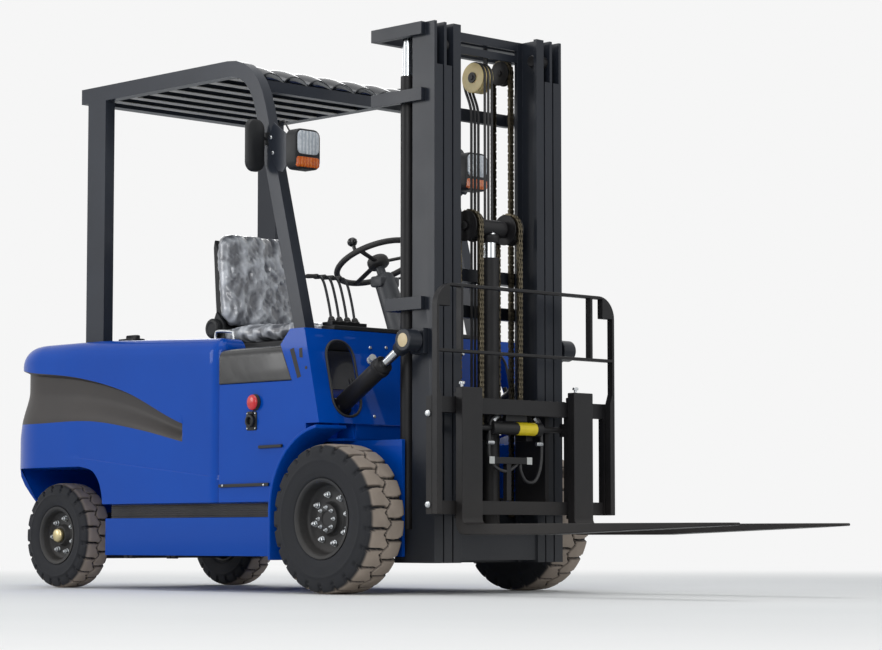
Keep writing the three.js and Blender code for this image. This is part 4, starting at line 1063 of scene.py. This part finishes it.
# %% Seat shell and pivots
shell_outline = [(bx0 + 28, bz0 - 30), (bx0 + 66, bz0 - 30), (bx0 + 26, bz1 - 60), (bx0 + 4, bz1 - 22),
                 (bx0 - 2, bz1 - 60), (bx0 + 14, bz0 + 120)]
make("seat_back_shell", prism(shell_outline, 1, by0 + 22, by1 - 22), black_abs, "hood", bevel=7, segments=3)
boss_profile = [(0, 0), (40, 0), (43, 4), (43, 24), (39, 30), (26, 32), (24, 29), (0, 29)]
arm_outline = [(bx0 + a, z) for a, z in ((20, 1060), (110, 1052), (96, 1140), (50, 1190), (30, 1150))]
for side, out in SIDES:
    boss = turned(boss_profile, at(bx0 + 44, out * 226, 1116), (0, out, 0), 40)
    arm = prism(arm_outline, 1, out * 218, out * 232)
    make(f"seat_pivot_{side}", joined(boss, arm), black_abs, "hood", bevel=3)
lever_places = [(60, -236, 1056), (90, -262, 1050), (200, -264, 1046)]
lever = smooth_path([at(cx0 + a, y, z) for a, y, z in lever_places])
make("seat_recline_lever", swept(lever, circle(6)), lever_steel, "hood")
skirt = [(cx0 + 20, 1006), (cx1 - 40, 1006), (cx1 - 24, 1046), (cx0 + 6, 1046)]
make("seat_side_skirt", prism(skirt, 1, -222, 222), black_abs, "hood", bevel=8, segments=3)

# %% [markdown]
# ## Lamps and mirrors
#
# Each lamp is a black moulded case with a clear fluted lens over an amber one. The case is a rounded
# plate with soft edges; the lenses stand a little proud of it. A pressed bracket carries it on the
# pillar. The mirrors are round-cornered shells with their glass turned to the operator.

# %% Headlamps
bracket_outline = [(-442, 1838), (-404, 1902), (-330, 1850), (-298, 1838), (-298, 1742), (-346, 1692),
                   (-376, 1700), (-412, 1752)]
lead_places = [(-330, 492, 1850), (-352, 494, 1882), (-372, 492, 1906), (-402, 488, 1905), (-424, 486, 1880)]
for side, out in SIDES:
    (_, face), _, (lamp_low, lamp_high) = span(f"headlamp_{side}")
    middle, mid_z = out * 480, (lamp_low + lamp_high) / 2
    case = slab(rounded_outline(134, 164, 30), at(face, middle, mid_z), (1, 0, 0), 58, edge=7)
    back = slab(rounded_outline(96, 120, 30), at(face - 60, middle, mid_z), (-1, 0, 0), 12, edge=10)
    make(f"headlamp_case_{side}", joined(case, back), black_abs, smooth=40, node=f"headlamp_{side}")
    clear = slab(rounded_outline(114, 96, 22), at(face + 5, middle, mid_z + 26), (1, 0, 0), 14, edge=5)
    make(f"headlamp_lens_{side}", clear, clear_lens, smooth=40)
    amber = slab(rounded_outline(124, 44, 12), at(face + 3, middle, mid_z - 53), (1, 0, 0), 50, edge=6)
    make(f"indicator_lens_{side}", amber, amber_lens, smooth=40)
    bracket = prism(bracket_outline, 1, out * 515, out * 521)
    foot = block((-304, -298), (out * 470, out * 521), (1748, 1832))
    make(f"lamp_bracket_{side}", joined(bracket, foot), guard_enamel, bevel=2)
    bolts = [at(-420, out * 521, 1840), at(-408, out * 521, 1776)]
    make(f"lamp_bracket_bolts_{side}", screw_heads(bolts, (0, out, 0), 8), zinc_steel)
    lead = smooth_path([at(x, out * y, z) for x, y, z in lead_places])
    make(f"lamp_lead_{side}", swept(lead, circle(3.5, 8)), hose_rubber)

# %% Mirrors
for side, out in SIDES:
    (mx0, mx1), _, (mz0, mz1) = span(f"mirror_{side}")
    tall, y, z = mz1 - mz0, out * 574, (mz0 + mz1) / 2
    shell = slab(rounded_outline(92, tall, 38, 8), at(mx1, y, z), (1, 0, 0), mx1 - mx0 - 3, edge=13)
    arm = bar(at(mx0 + 14, out * 510, 1840), at(mx0 + 14, out * 556, 1840), 7)
    foot = block((mx0 + 2, mx0 + 40), (out * 514.5, out * 519), (1815, 1865))
    make(f"mirror_shell_{side}", joined(shell, arm, foot), black_abs, smooth=40, node=f"mirror_{side}")
    glass = slab(rounded_outline(80, tall - 14, 32, 8), at(mx0 + 1, y, z), (-1, 0, 0), 3, 1)
    make(f"mirror_glass_{side}", glass, chrome_rod)

# %% [markdown]
# ## Rain cover
#
# The cover on the guard is a smoked sheet pressed into long bulges, so its height is a row of arches
# across the truck that follows a path from back to front. Pale sealing strips run in the valleys.

# %% Ribbed cover
BULGES, BULGE_HEIGHT, NOSE, NOSE_FALL, SHEET = 7, 30, 150, 44, 5
(rx0, rx1), (ry0, ry1), (_, roof_top) = span("roof_panel")
run_x = np.concatenate([np.linspace(rx0, rx1 - NOSE, 14), np.linspace(rx1 - NOSE + 20, rx1, 12)])
fall = NOSE_FALL * np.clip((run_x - (rx1 - NOSE)) / NOSE, 0, 1) ** 1.7
across = np.linspace(ry0, ry1, BULGES * 10 + 1)
arches = np.abs(np.sin(np.pi * BULGES * (across - ry0) / (ry1 - ry0))) ** 0.75
top = roof_top - 2 - fall[:, None] + BULGE_HEIGHT * arches[None]
upper = np.stack(np.broadcast_arrays(run_x[:, None], across[None], top), -1)
rim_top = np.concatenate([upper[0], upper[1:, -1], upper[-1, ::-1][1:], upper[::-1, 0][1:-1]])
cover = joined(grid(placed(upper)), grid(placed(upper[:, ::-1] - (0, 0, SHEET))),
               grid(placed(np.stack([rim_top, rim_top - (0, 0, SHEET)])), around=True))
make("rain_cover_sheet", cover, smoked_sheet, smooth=50, node="roof_panel")
strip_section = [(-4, 0), (4, 0), (3, 3), (-3, 3)]
strips = [swept(placed(beside(run_x, y, roof_top + 1 - fall)), strip_section)
          for y in np.linspace(ry0, ry1, BULGES + 1)[1:-1]]
make("rain_cover_strips", joined(*strips), strip_grey)
print("cover bulges", BULGES)

# %% [markdown]
# ## Tilt cylinders
#
# A tilt cylinder is a painted tube with a gland nut at its mouth, and a chromed rod that ends in a
# forged eye. Each is a profile turned round the line from its foot to its eye. A blank round sticker
# sits on the outer face of the eye.

# %% Tilt cylinders
TILT_FOOT, TILT_EYE, TILT_Y = (-95, 735), (305, 980), 435
run = math.dist(TILT_FOOT, TILT_EYE)
mouth = run - 160
tube_profile = [(0, 0), (34, 0), (36, 3), (36, mouth - 44), (40, mouth - 42), (41, mouth - 39),
                (41, mouth - 24), (37, mouth - 22), (37, mouth - 4), (34, mouth), (19, mouth),
                (19, mouth - 8), (0, mouth - 8)]
bush_profile = [(15, -34), (34, -34), (36, -32), (36, 32), (34, 34), (15, 34), (15, -34)]
neck_profile = [(0, run - 70), (27, run - 70), (29, run - 66), (33, run - 30), (0, run - 20)]
sticker_profile = [(0, 33.5), (27, 33.5), (27, 34.6), (26, 35), (0, 35)]
for side, out in SIDES:
    foot, eye = (at(x, out * TILT_Y, z) for x, z in (TILT_FOOT, TILT_EYE))
    ahead = (eye - foot).normalized()
    inlet = foot + ahead * 0.09
    port = bar(inlet + Vector((0, 0, 0.03)), inlet + Vector((-0.012, 0, 0.062)), 9)
    tube = joined(turned(tube_profile, foot, ahead), turned(bush_profile, foot, (0, 1, 0), 40), port)
    barrel, rod = f"tilt_barrel_{side}", f"tilt_rod_{side}"
    make(f"{barrel}_tube", tube, fork_enamel, barrel, smooth=40, node=barrel)
    shaft = turned(drum(18, 212, run - 66), foot, ahead, 40)
    make(f"{rod}_shaft", shaft, chrome_rod, rod, smooth=40, node=rod)
    boss = turned(drum(43, -34, 34, 3), eye, (0, 1, 0))
    make(f"tilt_eye_{side}", joined(turned(neck_profile, foot, ahead, 32), boss), mast_enamel, rod, smooth=40)
    make(f"tilt_eye_sticker_{side}", turned(sticker_profile, eye, (0, out, 0), 40), cream_label, rod)

# %% [markdown]
# ## Steering and levers
#
# The steering ring is a round section carried round a circle, tilted square to its column. Places on it
# are worked out flat, with y as the axle, and turned by the one rotation that takes y to the column.

# %% Steering column and wheel
COLUMN_FOOT, WHEEL_MIDDLE, RING = at(-185, 0, 1040), at(-342, 0, 1364), 178
column_way = (WHEEL_MIDDLE - COLUMN_FOOT).normalized()
to_column = Vector((0, 1, 0)).rotation_difference(column_way)


def on_wheel(degrees, radius, height=0.0):
    """A place at an angle and radius round the steering axle, height mm above the ring."""
    a = math.radians(degrees)
    return WHEEL_MIDDLE + to_column @ Vector((radius * math.cos(a), height, radius * math.sin(a))) * MM


far = (WHEEL_MIDDLE - COLUMN_FOOT).length / MM
housing = turned([(0, 2), (60, 2), (61, 8), (60, 30), (54, 42), (50, 110), (44, far - 120), (43, far - 76),
                  (38, far - 70), (0, far - 70)], COLUMN_FOOT, column_way, 40)
shaft = turned(drum(19, far - 74, far - 28), COLUMN_FOOT, column_way, 24)
switch_root = COLUMN_FOOT + column_way * (far - 90) * MM
switch_end = switch_root + Vector((0.018, 0.196, 0.036))
switch_grip = turned([(0, 0), (8, 2), (11, 12), (10, 34), (0, 38)], switch_end - Vector((0, 0.03, 0.006)),
                     (0.1, 1, 0.2), 20)
column = joined(housing, shaft, bar(switch_root, switch_end, 5), switch_grip)
make("steering_column_housing", column, grey_abs, node="steering_column")
pod_middle, pod_outline = COLUMN_FOOT + column_way * 0.262, rounded_outline(70, 46, 12)
pods = [slab(pod_outline, pod_middle + Vector((0, y, 0)), (0, y, 0), 40, 6) for y in (-0.052, 0.052)]
make("steering_switch_pods", joined(*pods), grey_abs)

turns = np.linspace(0, 360, 96, endpoint=False)
ring = swept([on_wheel(t, RING) for t in turns], circle(12.5, 14), closed=True)
spokes = [swept([on_wheel(t, r, -6 + 2 * math.cos(r / 60)) for r in np.linspace(20, RING - 2, 9)],
                circle(7, 12) * (1.9, 1.0)) for t in (90, 210, 330)]
hub = turned([(0, -24), (38, -24), (44, -18), (46, 0), (44, 10), (38, 18), (22, 21), (0, 21)], WHEEL_MIDDLE,
             column_way, 40)
make("steering_ring", joined(ring, hub, *spokes), grip_rubber, "steering_wheel", smooth=50,
     node="steering_wheel")
knob = [(0, 0), (8, 0), (8, 30), (14, 34), (21, 44), (21, 54), (16, 62), (7, 66), (0, 66)]
knob = turned(knob, on_wheel(98, RING), column_way, 32)
make("steering_knob", knob, glossy_abs, "steering_wheel", smooth=50)

# %% Control levers
stem_places = [(-162, 1062), (-178, 1140), (-206, 1228), (-228, 1262), (-252, 1270)]
grip_profile = [(0, 0), (7, 0), (9.5, 4), (8.5, 30), (9.5, 62), (8, 70), (0, 72)]
bellows_profile = [(0, 0), (19, 0), (19, 4), (14, 8), (16, 11), (12, 15), (13, 18), (8, 24), (0, 24)]
stems, rubbers = [block((-195, -135), (-438, -252), (1066, 1079))], []
for y in (-290, -332, -374, -416):
    path = smooth_path([at(x, y, z) for x, z in stem_places])
    stems.append(swept(path, circle(5.5, 10), twist_up=(0, 1, 0)))
    rubbers.append(turned(grip_profile, at(-248, y, 1270), (-1, 0, 0.06), 20))
    rubbers.append(turned(bellows_profile, at(-163, y, 1078), (-0.2, 0, 1), 20))
make("lever_stems", joined(*stems), lever_steel, smooth=40, node="control_levers")
make("lever_grips", joined(*rubbers), grip_rubber, smooth=50)
print("levers", len(stems) - 1)

# %% [markdown]
# ## Crosshead, chains and hoses
#
# The free lift cylinder pushes up a crosshead with two chain sheaves. A leaf chain is rows of figure-of-eight
# plates on pins, so one link is built once and copied along the chain's path, one pitch apart, turned to the
# path's slope. A chain's hidden run shortens when the mast moves.

# %% Crosshead and sheaves
RAM_X, HEAD_Z = 312, 1450
HEAD, RAM_FOOT = at(RAM_X, 0, HEAD_Z), at(RAM_X, 0, 0)
SHEAVE_Y = 110
ram = turned(drum(27.5, 312, HEAD_Z), RAM_FOOT, (0, 0, 1), 40)
make("free_lift_ram", ram, chrome_rod, "crosshead", smooth=40, node="crosshead")
yoke = turned(drum(34, -73, 73, 3), HEAD, (0, 1, 0), 40)
collar = [(0, 1392), (38, 1392), (40, 1395), (40, 1418), (34, 1424), (0, 1424)]
collar = turned(collar, RAM_FOOT, (0, 0, 1), 40)
axle = turned(drum(17, -145, 145, 2), HEAD, (0, 1, 0), 24)
make("crosshead_yoke", joined(yoke, collar, axle), fork_enamel, "crosshead", smooth=40)
groove = [(20, -25), (54, -25), (61.5, -24), (61.5, -20), (53.5, -17), (53.5, 17), (61.5, 20), (61.5, 24),
          (54, 25), (20, 25), (20, -25)]
for side, out in SIDES:
    sheave = turned(groove, at(RAM_X, out * SHEAVE_Y, HEAD_Z), (0, 1, 0), 64)
    make(f"chain_sheave_{side}", sheave, fork_enamel, "crosshead", smooth=40)

# %% Leaf chain
PITCH = 19.05
PLATE_ROWS = ((-11.5, -9), (-3.5, -1), (1.5, 4), (9, 11.5)), ((-8.5, -6), (-6, -3.7), (4.2, 6.5), (6.5, 8.7))


def chain_run(points, y, narrow=0.0):
    """Leaf chain along (x, z) points in mm: at each pitch a pin, and between pins four plates, wide and
    narrow rows taking turns."""
    points = np.asarray(points, float)
    length = np.concatenate([[0], np.cumsum(np.linalg.norm(np.diff(points, axis=0), axis=1))])
    count = max(2, int(round(length[-1] / PITCH)))
    at_length = np.linspace(0, length[-1], count + 1)
    place = np.stack([np.interp(at_length, length, points[:, i]) for i in (0, 1)], 1)
    middle, way = (place[1:] + place[:-1]) / 2, np.diff(place, axis=0)
    pitch, half = np.linalg.norm(way, axis=1).mean(), 8.0 - narrow
    end = [tuple(p) for p in arc(pitch / 2, 0, half, 6, -1.1, 1.1)]
    outline = end + [(0, half * 0.66)] + [(-p, q) for p, q in reversed(end)] + [(0, -half * 0.66)]
    matrices = [Matrix(((w[0], 0, -w[1], m[0]), (0, 1, 0, 0), (w[1], 0, w[0], m[1]), (0, 0, 0, 1)))
                for m, w in zip(middle, way / np.linalg.norm(way, axis=1, keepdims=True))]
    links = [copies(joined(*[plate(outline, 1, a, b) for a, b in row]), matrices[parity::2])
             for parity, row in enumerate(PLATE_ROWS)]
    pin = plate(circle(4.0 - narrow / 3, 8), 1, -13 + narrow, 13 - narrow)
    shape_points, faces = joined(*links, copies(pin, [Matrix.Translation((p[0], 0, p[1])) for p in place]))
    return placed(shape_points + (0, y, 0)), faces


def chain(name, points, y, body, narrow=0.0):
    """A chain piece that rides on a body."""
    return make(name, chain_run(points, y, narrow), chain_steel, body)


# %% Chains of the free lift
WRAP = 61.5
FRONT_X, REAR_X = RAM_X + WRAP, RAM_X - WRAP
for side, out in SIDES:
    y = out * SHEAVE_Y
    front = chain(f"chain_front_{side}", [(FRONT_X, 644), (FRONT_X, HEAD_Z)], y, "carriage")
    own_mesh(front)
    chain(f"chain_bend_{side}", arc(RAM_X, HEAD_Z, WRAP, 25), y, "crosshead")
    chain(f"chain_rear_upper_{side}", [(REAR_X, 700), (REAR_X, HEAD_Z)], y, "crosshead")
    chain(f"chain_rear_lower_{side}", [(REAR_X, 700), (REAR_X, HEAD_Z)], y, "inner_mast", narrow=0.8)
    anchor = block((REAR_X - 14, REAR_X + 14), (y - 18, y + 18), (672, 700))
    arm = block((REAR_X - 14, 300), (out * 34, y + out * 18), (672, 684))
    make(f"chain_anchor_{side}", joined(anchor, arm), fork_enamel, "inner_mast", bevel=2)
print("chains made")

# %% Hose pulley and mast hoses
PULLEY_X, PULLEY_Z, HOSE_RING = 178, 2080, 60
PULLEY = at(PULLEY_X, 70, PULLEY_Z)
profile = [(10, -31), (52, -31), (61, -29)]
for y in (-20, 0, 20):
    profile += [(61, y - 8), (54, y - 4), (52.5, y), (54, y + 4), (61, y + 8)]
profile += [(61, 29), (52, 31), (10, 31), (10, -31)]
make("hose_pulley_wheel", turned(profile, PULLEY, (0, 1, 0), 72), nylon, "middle_mast", node="hose_pulley")
pin = turned([(0, -40), (9, -40), (10, -38), (10, 48), (0, 48)], PULLEY, (0, 1, 0), 24)
washer = turned([(0, -36), (21, -36), (22, -35), (22, -33), (0, -33)], PULLEY, (0, 1, 0), 24)
hanger = block((167, 189), (112, 117), (2068, 2195))
make("hose_pulley_hanger", joined(pin, washer, hanger), fork_enamel, "middle_mast", smooth=40)
rear_z = np.concatenate([np.linspace(690, 1930, 9), np.linspace(1945, PULLEY_Z, 10)])
rear_x = 161 - 43 * (1 - np.cos(np.pi * np.clip((rear_z - 1930) / 150, 0, None))) / 2
rear, over = beside(rear_x, rear_z), arc(PULLEY_X, PULLEY_Z, HOSE_RING, 17)
front = beside(PULLEY_X + HOSE_RING, np.linspace(304, PULLEY_Z, 12))
for i, y in enumerate((50, 70, 90)):
    for name, places, radius, body in (
            ("rear_moving", rear, 5.8, "middle_mast"), ("rear_fixed", rear, 5.2, "outer_mast"),
            ("bend", over, 5.8, "middle_mast"), ("front", front, 5.5, "inner_mast")):
        tube = swept([at(x, y, z) for x, z in places], circle(radius, 12), twist_up=(0, 1, 0))
        hose = make(f"hose_{name}_{i}", tube, hose_rubber, body)
    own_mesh(hose)

# %% [markdown]
# ## Side shift cylinder and its hoses
#
# A double-ended cylinder on the carriage pushes the shifter to either side. Its blank label is a band of
# yellow film on the front of the tube. Steel fittings at both ends take two looped hoses.

# %% Side shift cylinder
SHIFT_X, SHIFT_Z = 455, 646
LEFTWARD, SHIFT_MIDDLE = Vector((0, 1, 0)), at(SHIFT_X, 0, SHIFT_Z)
tube = [(12.6, -140), (25, -140), (28, -137), (28, -112), (25.5, -110), (25.5, 110), (28, 112), (28, 137),
        (25, 140), (12.6, 140), (12.6, -140)]
make("side_shift_tube", turned(tube, SHIFT_MIDDLE, LEFTWARD), fork_enamel, "carriage", smooth=40,
     node="side_shift_cylinder")
band = np.concatenate([arc(SHIFT_X, SHIFT_Z, 25.9, 17, -1.5, 1.5),
                       arc(SHIFT_X, SHIFT_Z, 25.4, 17, 1.5, -1.5)])
loop = np.stack([np.insert(band, 1, y, axis=1) for y in (2, 104)])
make("side_shift_label", grid(placed(loop), around=True), yellow_label, "carriage", smooth=50)
fitting = [(0, 0), (11, 0), (11, 9), (8, 10), (8, 20), (10, 21), (10, 31), (0, 31)]
for side, out in SIDES:
    rod = turned(drum(11.6, 141, 262), SHIFT_MIDDLE, LEFTWARD * out, 24)
    make(f"side_shift_rod_{side}", rod, chrome_rod, "side_shift", smooth=40)
    nut = turned(fitting, at(SHIFT_X, out * 124, SHIFT_Z + 26), (0.1, -out, 0.9), 6)
    make(f"side_shift_fitting_{side}", nut, zinc_steel, "carriage", smooth=30)

# %% Side shift hoses
shift_hoses = {
    "right": ((-112, 694), (-138, 672), (-147, 600), (-145, 530), (-110, 492), (-50, 478), (0, 500),
              (12, 520)),
    "left": ((112, 694), (138, 670), (148, 590), (142, 500), (110, 442), (60, 440), (30, 480), (28, 520))}
for side, places in shift_hoses.items():
    path = smooth_path([at(SHIFT_X + (i == 1), y, z) for i, (y, z) in enumerate(places)])
    make(f"side_shift_hose_{side}", swept(path, circle(7, 12), twist_up=(1, 0, 0)), hose_rubber, "carriage")
shelf = block((461, 466), (-156, 82), (507, 533))
stem = block((441, 462), (-55, -30), (362, 533))
make("hose_shelf", joined(shelf, stem), fork_enamel, "carriage", bevel=1)
unions = [bar(at(SHIFT_X, y, 588), at(SHIFT_X, y + 34, 588), 9, 8) for y in (-156, 118)]
make("hose_unions", joined(*unions), zinc_steel, "carriage")
tags = [block((466, 467.5), (y, y + 28), (506, 534)) for y in (-156, 54)]
make("hose_tags", joined(*tags), tag_white, "carriage")

# %% [markdown]
# ## Lift chains of the two outer stages
#
# Each side of the middle mast carries a sheave at its top. The chain comes up behind from the outer mast,
# goes over it, and goes down in front to the foot of the inner mast.

# %% Outer chains
SHEAVE_X, SHEAVE_Z, LIFT_WRAP = 200, 2110, 49.5
FRONT_X, REAR_X = SHEAVE_X + LIFT_WRAP, SHEAVE_X - LIFT_WRAP
groove = [(12, -17), (44, -17), (50, -16), (50, -13.5), (45, -12.5), (45, 12.5), (50, 13.5), (50, 16),
          (44, 17), (12, 17), (12, -17)]
for side, out in SIDES:
    y = out * 188
    middle = at(SHEAVE_X, y, SHEAVE_Z)
    sheave = joined(turned(groove, middle, (0, 1, 0)), turned(drum(12, -22, 30), middle, (0, out, 0), 24))
    make(f"lift_sheave_{side}", sheave, fork_enamel, "middle_mast", smooth=40)
    behind = [(REAR_X, 700), (REAR_X, SHEAVE_Z)]
    chain(f"lift_chain_bend_{side}", arc(SHEAVE_X, SHEAVE_Z, LIFT_WRAP, 17), y, "middle_mast")
    chain(f"lift_chain_rear_moving_{side}", behind, y, "middle_mast")
    chain(f"lift_chain_rear_fixed_{side}", behind, y, "outer_mast", narrow=0.8)
    front = chain(f"lift_chain_front_{side}", [(FRONT_X, 304), (FRONT_X, SHEAVE_Z)], y, "inner_mast")
    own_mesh(front)
for y, body in ((285, "middle_mast"), (236, "inner_mast")):
    rollers = [turned(drum(24, -17, 17, 3), at(336, out * y, 2150), (0, 1, 0), 32) for out in (-1, 1)]
    make(f"guide_rollers_{body}", joined(*rollers), fork_enamel, body, smooth=40)
print("lift chains made")

# %% [markdown]
# ## Trims, handles and fastenings
#
# These small parts tell the eye how big the truck is: the ribbed rubber on the step, black wear strips
# with two screws each, the bright grab loop, the deck latch, the stop button in its collar with a socket
# below it, rubber edging round the tilt cylinder openings, and the bolts.

# %% Step rubber and wear strips
ribs = [(0, 302)] + [(7 if i % 4 < 2 else 4, 302 + 54 * i / 24) for i in range(25)] + [(0, 356)]
long_strip = [(-640, 421), (-330, 424), (-330, 437), (-640, 434)]
short_strip = [(-392, 574), (-250, 576), (-250, 588), (-392, 586)]
for side, out in SIDES:
    outline = [(out * (565.3 + depth), z) for depth, z in ribs]
    make(f"step_rubber_{side}", prism(outline, 0, -1396, -318), grip_rubber)
    strips = [prism(long_strip, 1, out * 599.5, out * 606)]
    if side == "right":
        strips.append(prism(short_strip, 1, -606, -596))
    make(f"wear_strip_{side}", joined(*strips), black_abs, bevel=1.5)
    screws = [at(x, out * 606, 428.5) for x in (-612, -356)]
    make(f"wear_strip_screws_{side}", screw_heads(screws, (0, out, 0), 5), zinc_steel)
feet = [block((x - 12, x + 12), (-510, -490), (131, 146)) for x in (-1375, -1340, -1083, -1050)]
make("sill_stubs", joined(*feet), frame_black, bevel=2)

# %% Grab loop and latch
loop_places = [(-824, 1030), (-822, 1062), (-806, 1074), (-722, 1068), (-706, 1056), (-704, 1020)]
grab_loop = swept(smooth_path([at(x, -474, z) for x, z in loop_places]), circle(6, 14), twist_up=(0, 1, 0))
make("grab_loop", grab_loop, zinc_steel)
latch_layers = ((120, 66, 14), -1490, 1082, 16, 3), ((74, 30, 10), -1480, 1098, 17, 5)
latch = [slab(rounded_outline(*size), at(x, -400, z), (0, 0, 1), depth, edge, upright=(0, 1, 0))
         for size, x, z, depth, edge in latch_layers]
make("deck_latch", joined(*latch), black_abs, smooth=40)

# %% Stop button and socket
OUTWARD = (0, -1, 0)
button, socket = at(-420, -597.3, 760), at(-440, -601, 686)
collar = turned([(0, 0), (34, 0), (34, 3), (26, 6), (22, 11), (0, 11)], button, OUTWARD)
make("stop_collar", collar, black_abs, smooth=40)
mushroom = [(0, 10), (15, 10), (16, 12), (29, 13), (31, 15), (30, 19), (25, 23), (14, 25.5), (0, 26)]
make("stop_button", turned(mushroom, button, OUTWARD), stop_red, smooth=40, node="emergency_stop")
base = slab(rounded_outline(64, 76, 9), socket, OUTWARD, 4)
mouth = [(14, 0), (25, 0), (26, 3), (25, 12), (22, 14), (17, 14), (15, 11), (14, 4), (14, 0)]
flap = slab(rounded_outline(30, 12, 3), at(-440, -609, 718), OUTWARD, 8, edge=2)
make("charging_socket", joined(base, turned(mouth, socket, OUTWARD, 40), flap), black_abs, smooth=40)
make("charging_socket_well", turned(drum(15, -1, 1), socket, OUTWARD, 32), frame_black)
corners = [socket + Vector((a * 24, 0, b * 30)) * MM for a in (-1, 1) for b in (-1, 1)]
make("socket_screws", screw_heads(corners, OUTWARD, 3.5), zinc_steel)

# %% Painted shade in the cowl slots, edging and bolts
SLOPE = 90 / 377  # how far the cowl's face leans back for each millimetre it rises


def on_cowl(y, z, lift=0.0):
    """A place on the cowl's leaning front face, lift mm in front of it."""
    return at(-120 + (1045 - z) * SLOPE + lift, y, z + lift * 0.24)


slot_outline = [(-206, 962), (-182, 968), (-138, 852), (-160, 846)]
square_outline = [(-148, 928), (-128, 926), (-132, 966), (-150, 964)]
for side, out in SIDES:
    ring = [on_cowl(out * 435 + p, 848 + q, 1) for p, q in rounded_outline(150, 304, 70, 8)]
    edging = swept(ring, circle(5.5, 10), closed=True, twist_up=(1, 0, 0.24))
    make(f"opening_edging_{side}", edging, hose_rubber)
    # The slots and the round hole in the cowl's side are openings; the thin black plates drawn in them are
    # painted shade.
    slot_shades = [prism(outline, 1, out * 599.4, out * 600.6) for outline in (slot_outline, square_outline)]
    hole_shade = turned(drum(7, 0, 1), at(-108, out * 599.6, 886), (0, out, 0), 24)
    make(f"cowl_slot_shades_{side}", joined(*slot_shades, hole_shade), frame_black)
bolt_places = [(-262, 980), (-174, 984), (262, 980), (174, 984), (-300, 700), (300, 700)]
bolts = [on_cowl(y, z) for y, z in bolt_places]
make("cowl_bolts", screw_heads(bolts, (1, 0, 0.24), 7), zinc_steel)
nipple = [(0, 0), (15, 0), (15, 8), (11, 10), (11, 22), (16, 25), (15, 34), (0, 36)]
make("filler_nipple", turned(nipple, on_cowl(-276, 926), (1, -0.3, 0.4), 24), tag_white, smooth=40)

# %% Fork pins, shifter bolts and guard bars
pin_profile = [(0, 0), (9, 0), (9, 8), (6, 9), (6, 18), (12, 19), (12, 27), (10, 29), (0, 29)]
for side, out in SIDES:
    pin = turned(pin_profile, at(480, out * 320, 790), (0, 0, 1), 24)
    make(f"fork_pin_{side}", pin, zinc_steel, "side_shift", smooth=40)
    bolts = [at(482, out * 500, 690), at(482, out * 500, 344)]
    make(f"end_plate_bolts_{side}", screw_heads(bolts, (0, out, 0), 13), zinc_steel, "side_shift")
row = [at(452, y, 757) for y in np.linspace(-280, 280, 15)]
make("upper_bar_screws", screw_heads(row, (0, 0, 1)), lever_steel, "side_shift")
# Thin pale grey plates drawn on the undersides of the guard's roof bars.
undersides = [block((x - 10, x + 38), (-462, 462), (2126.5, 2129.5)) for x in range(-1560, -720, 135)]
make("guard_bar_undersides", joined(*undersides), pale_underside_colour, bevel=0.5)
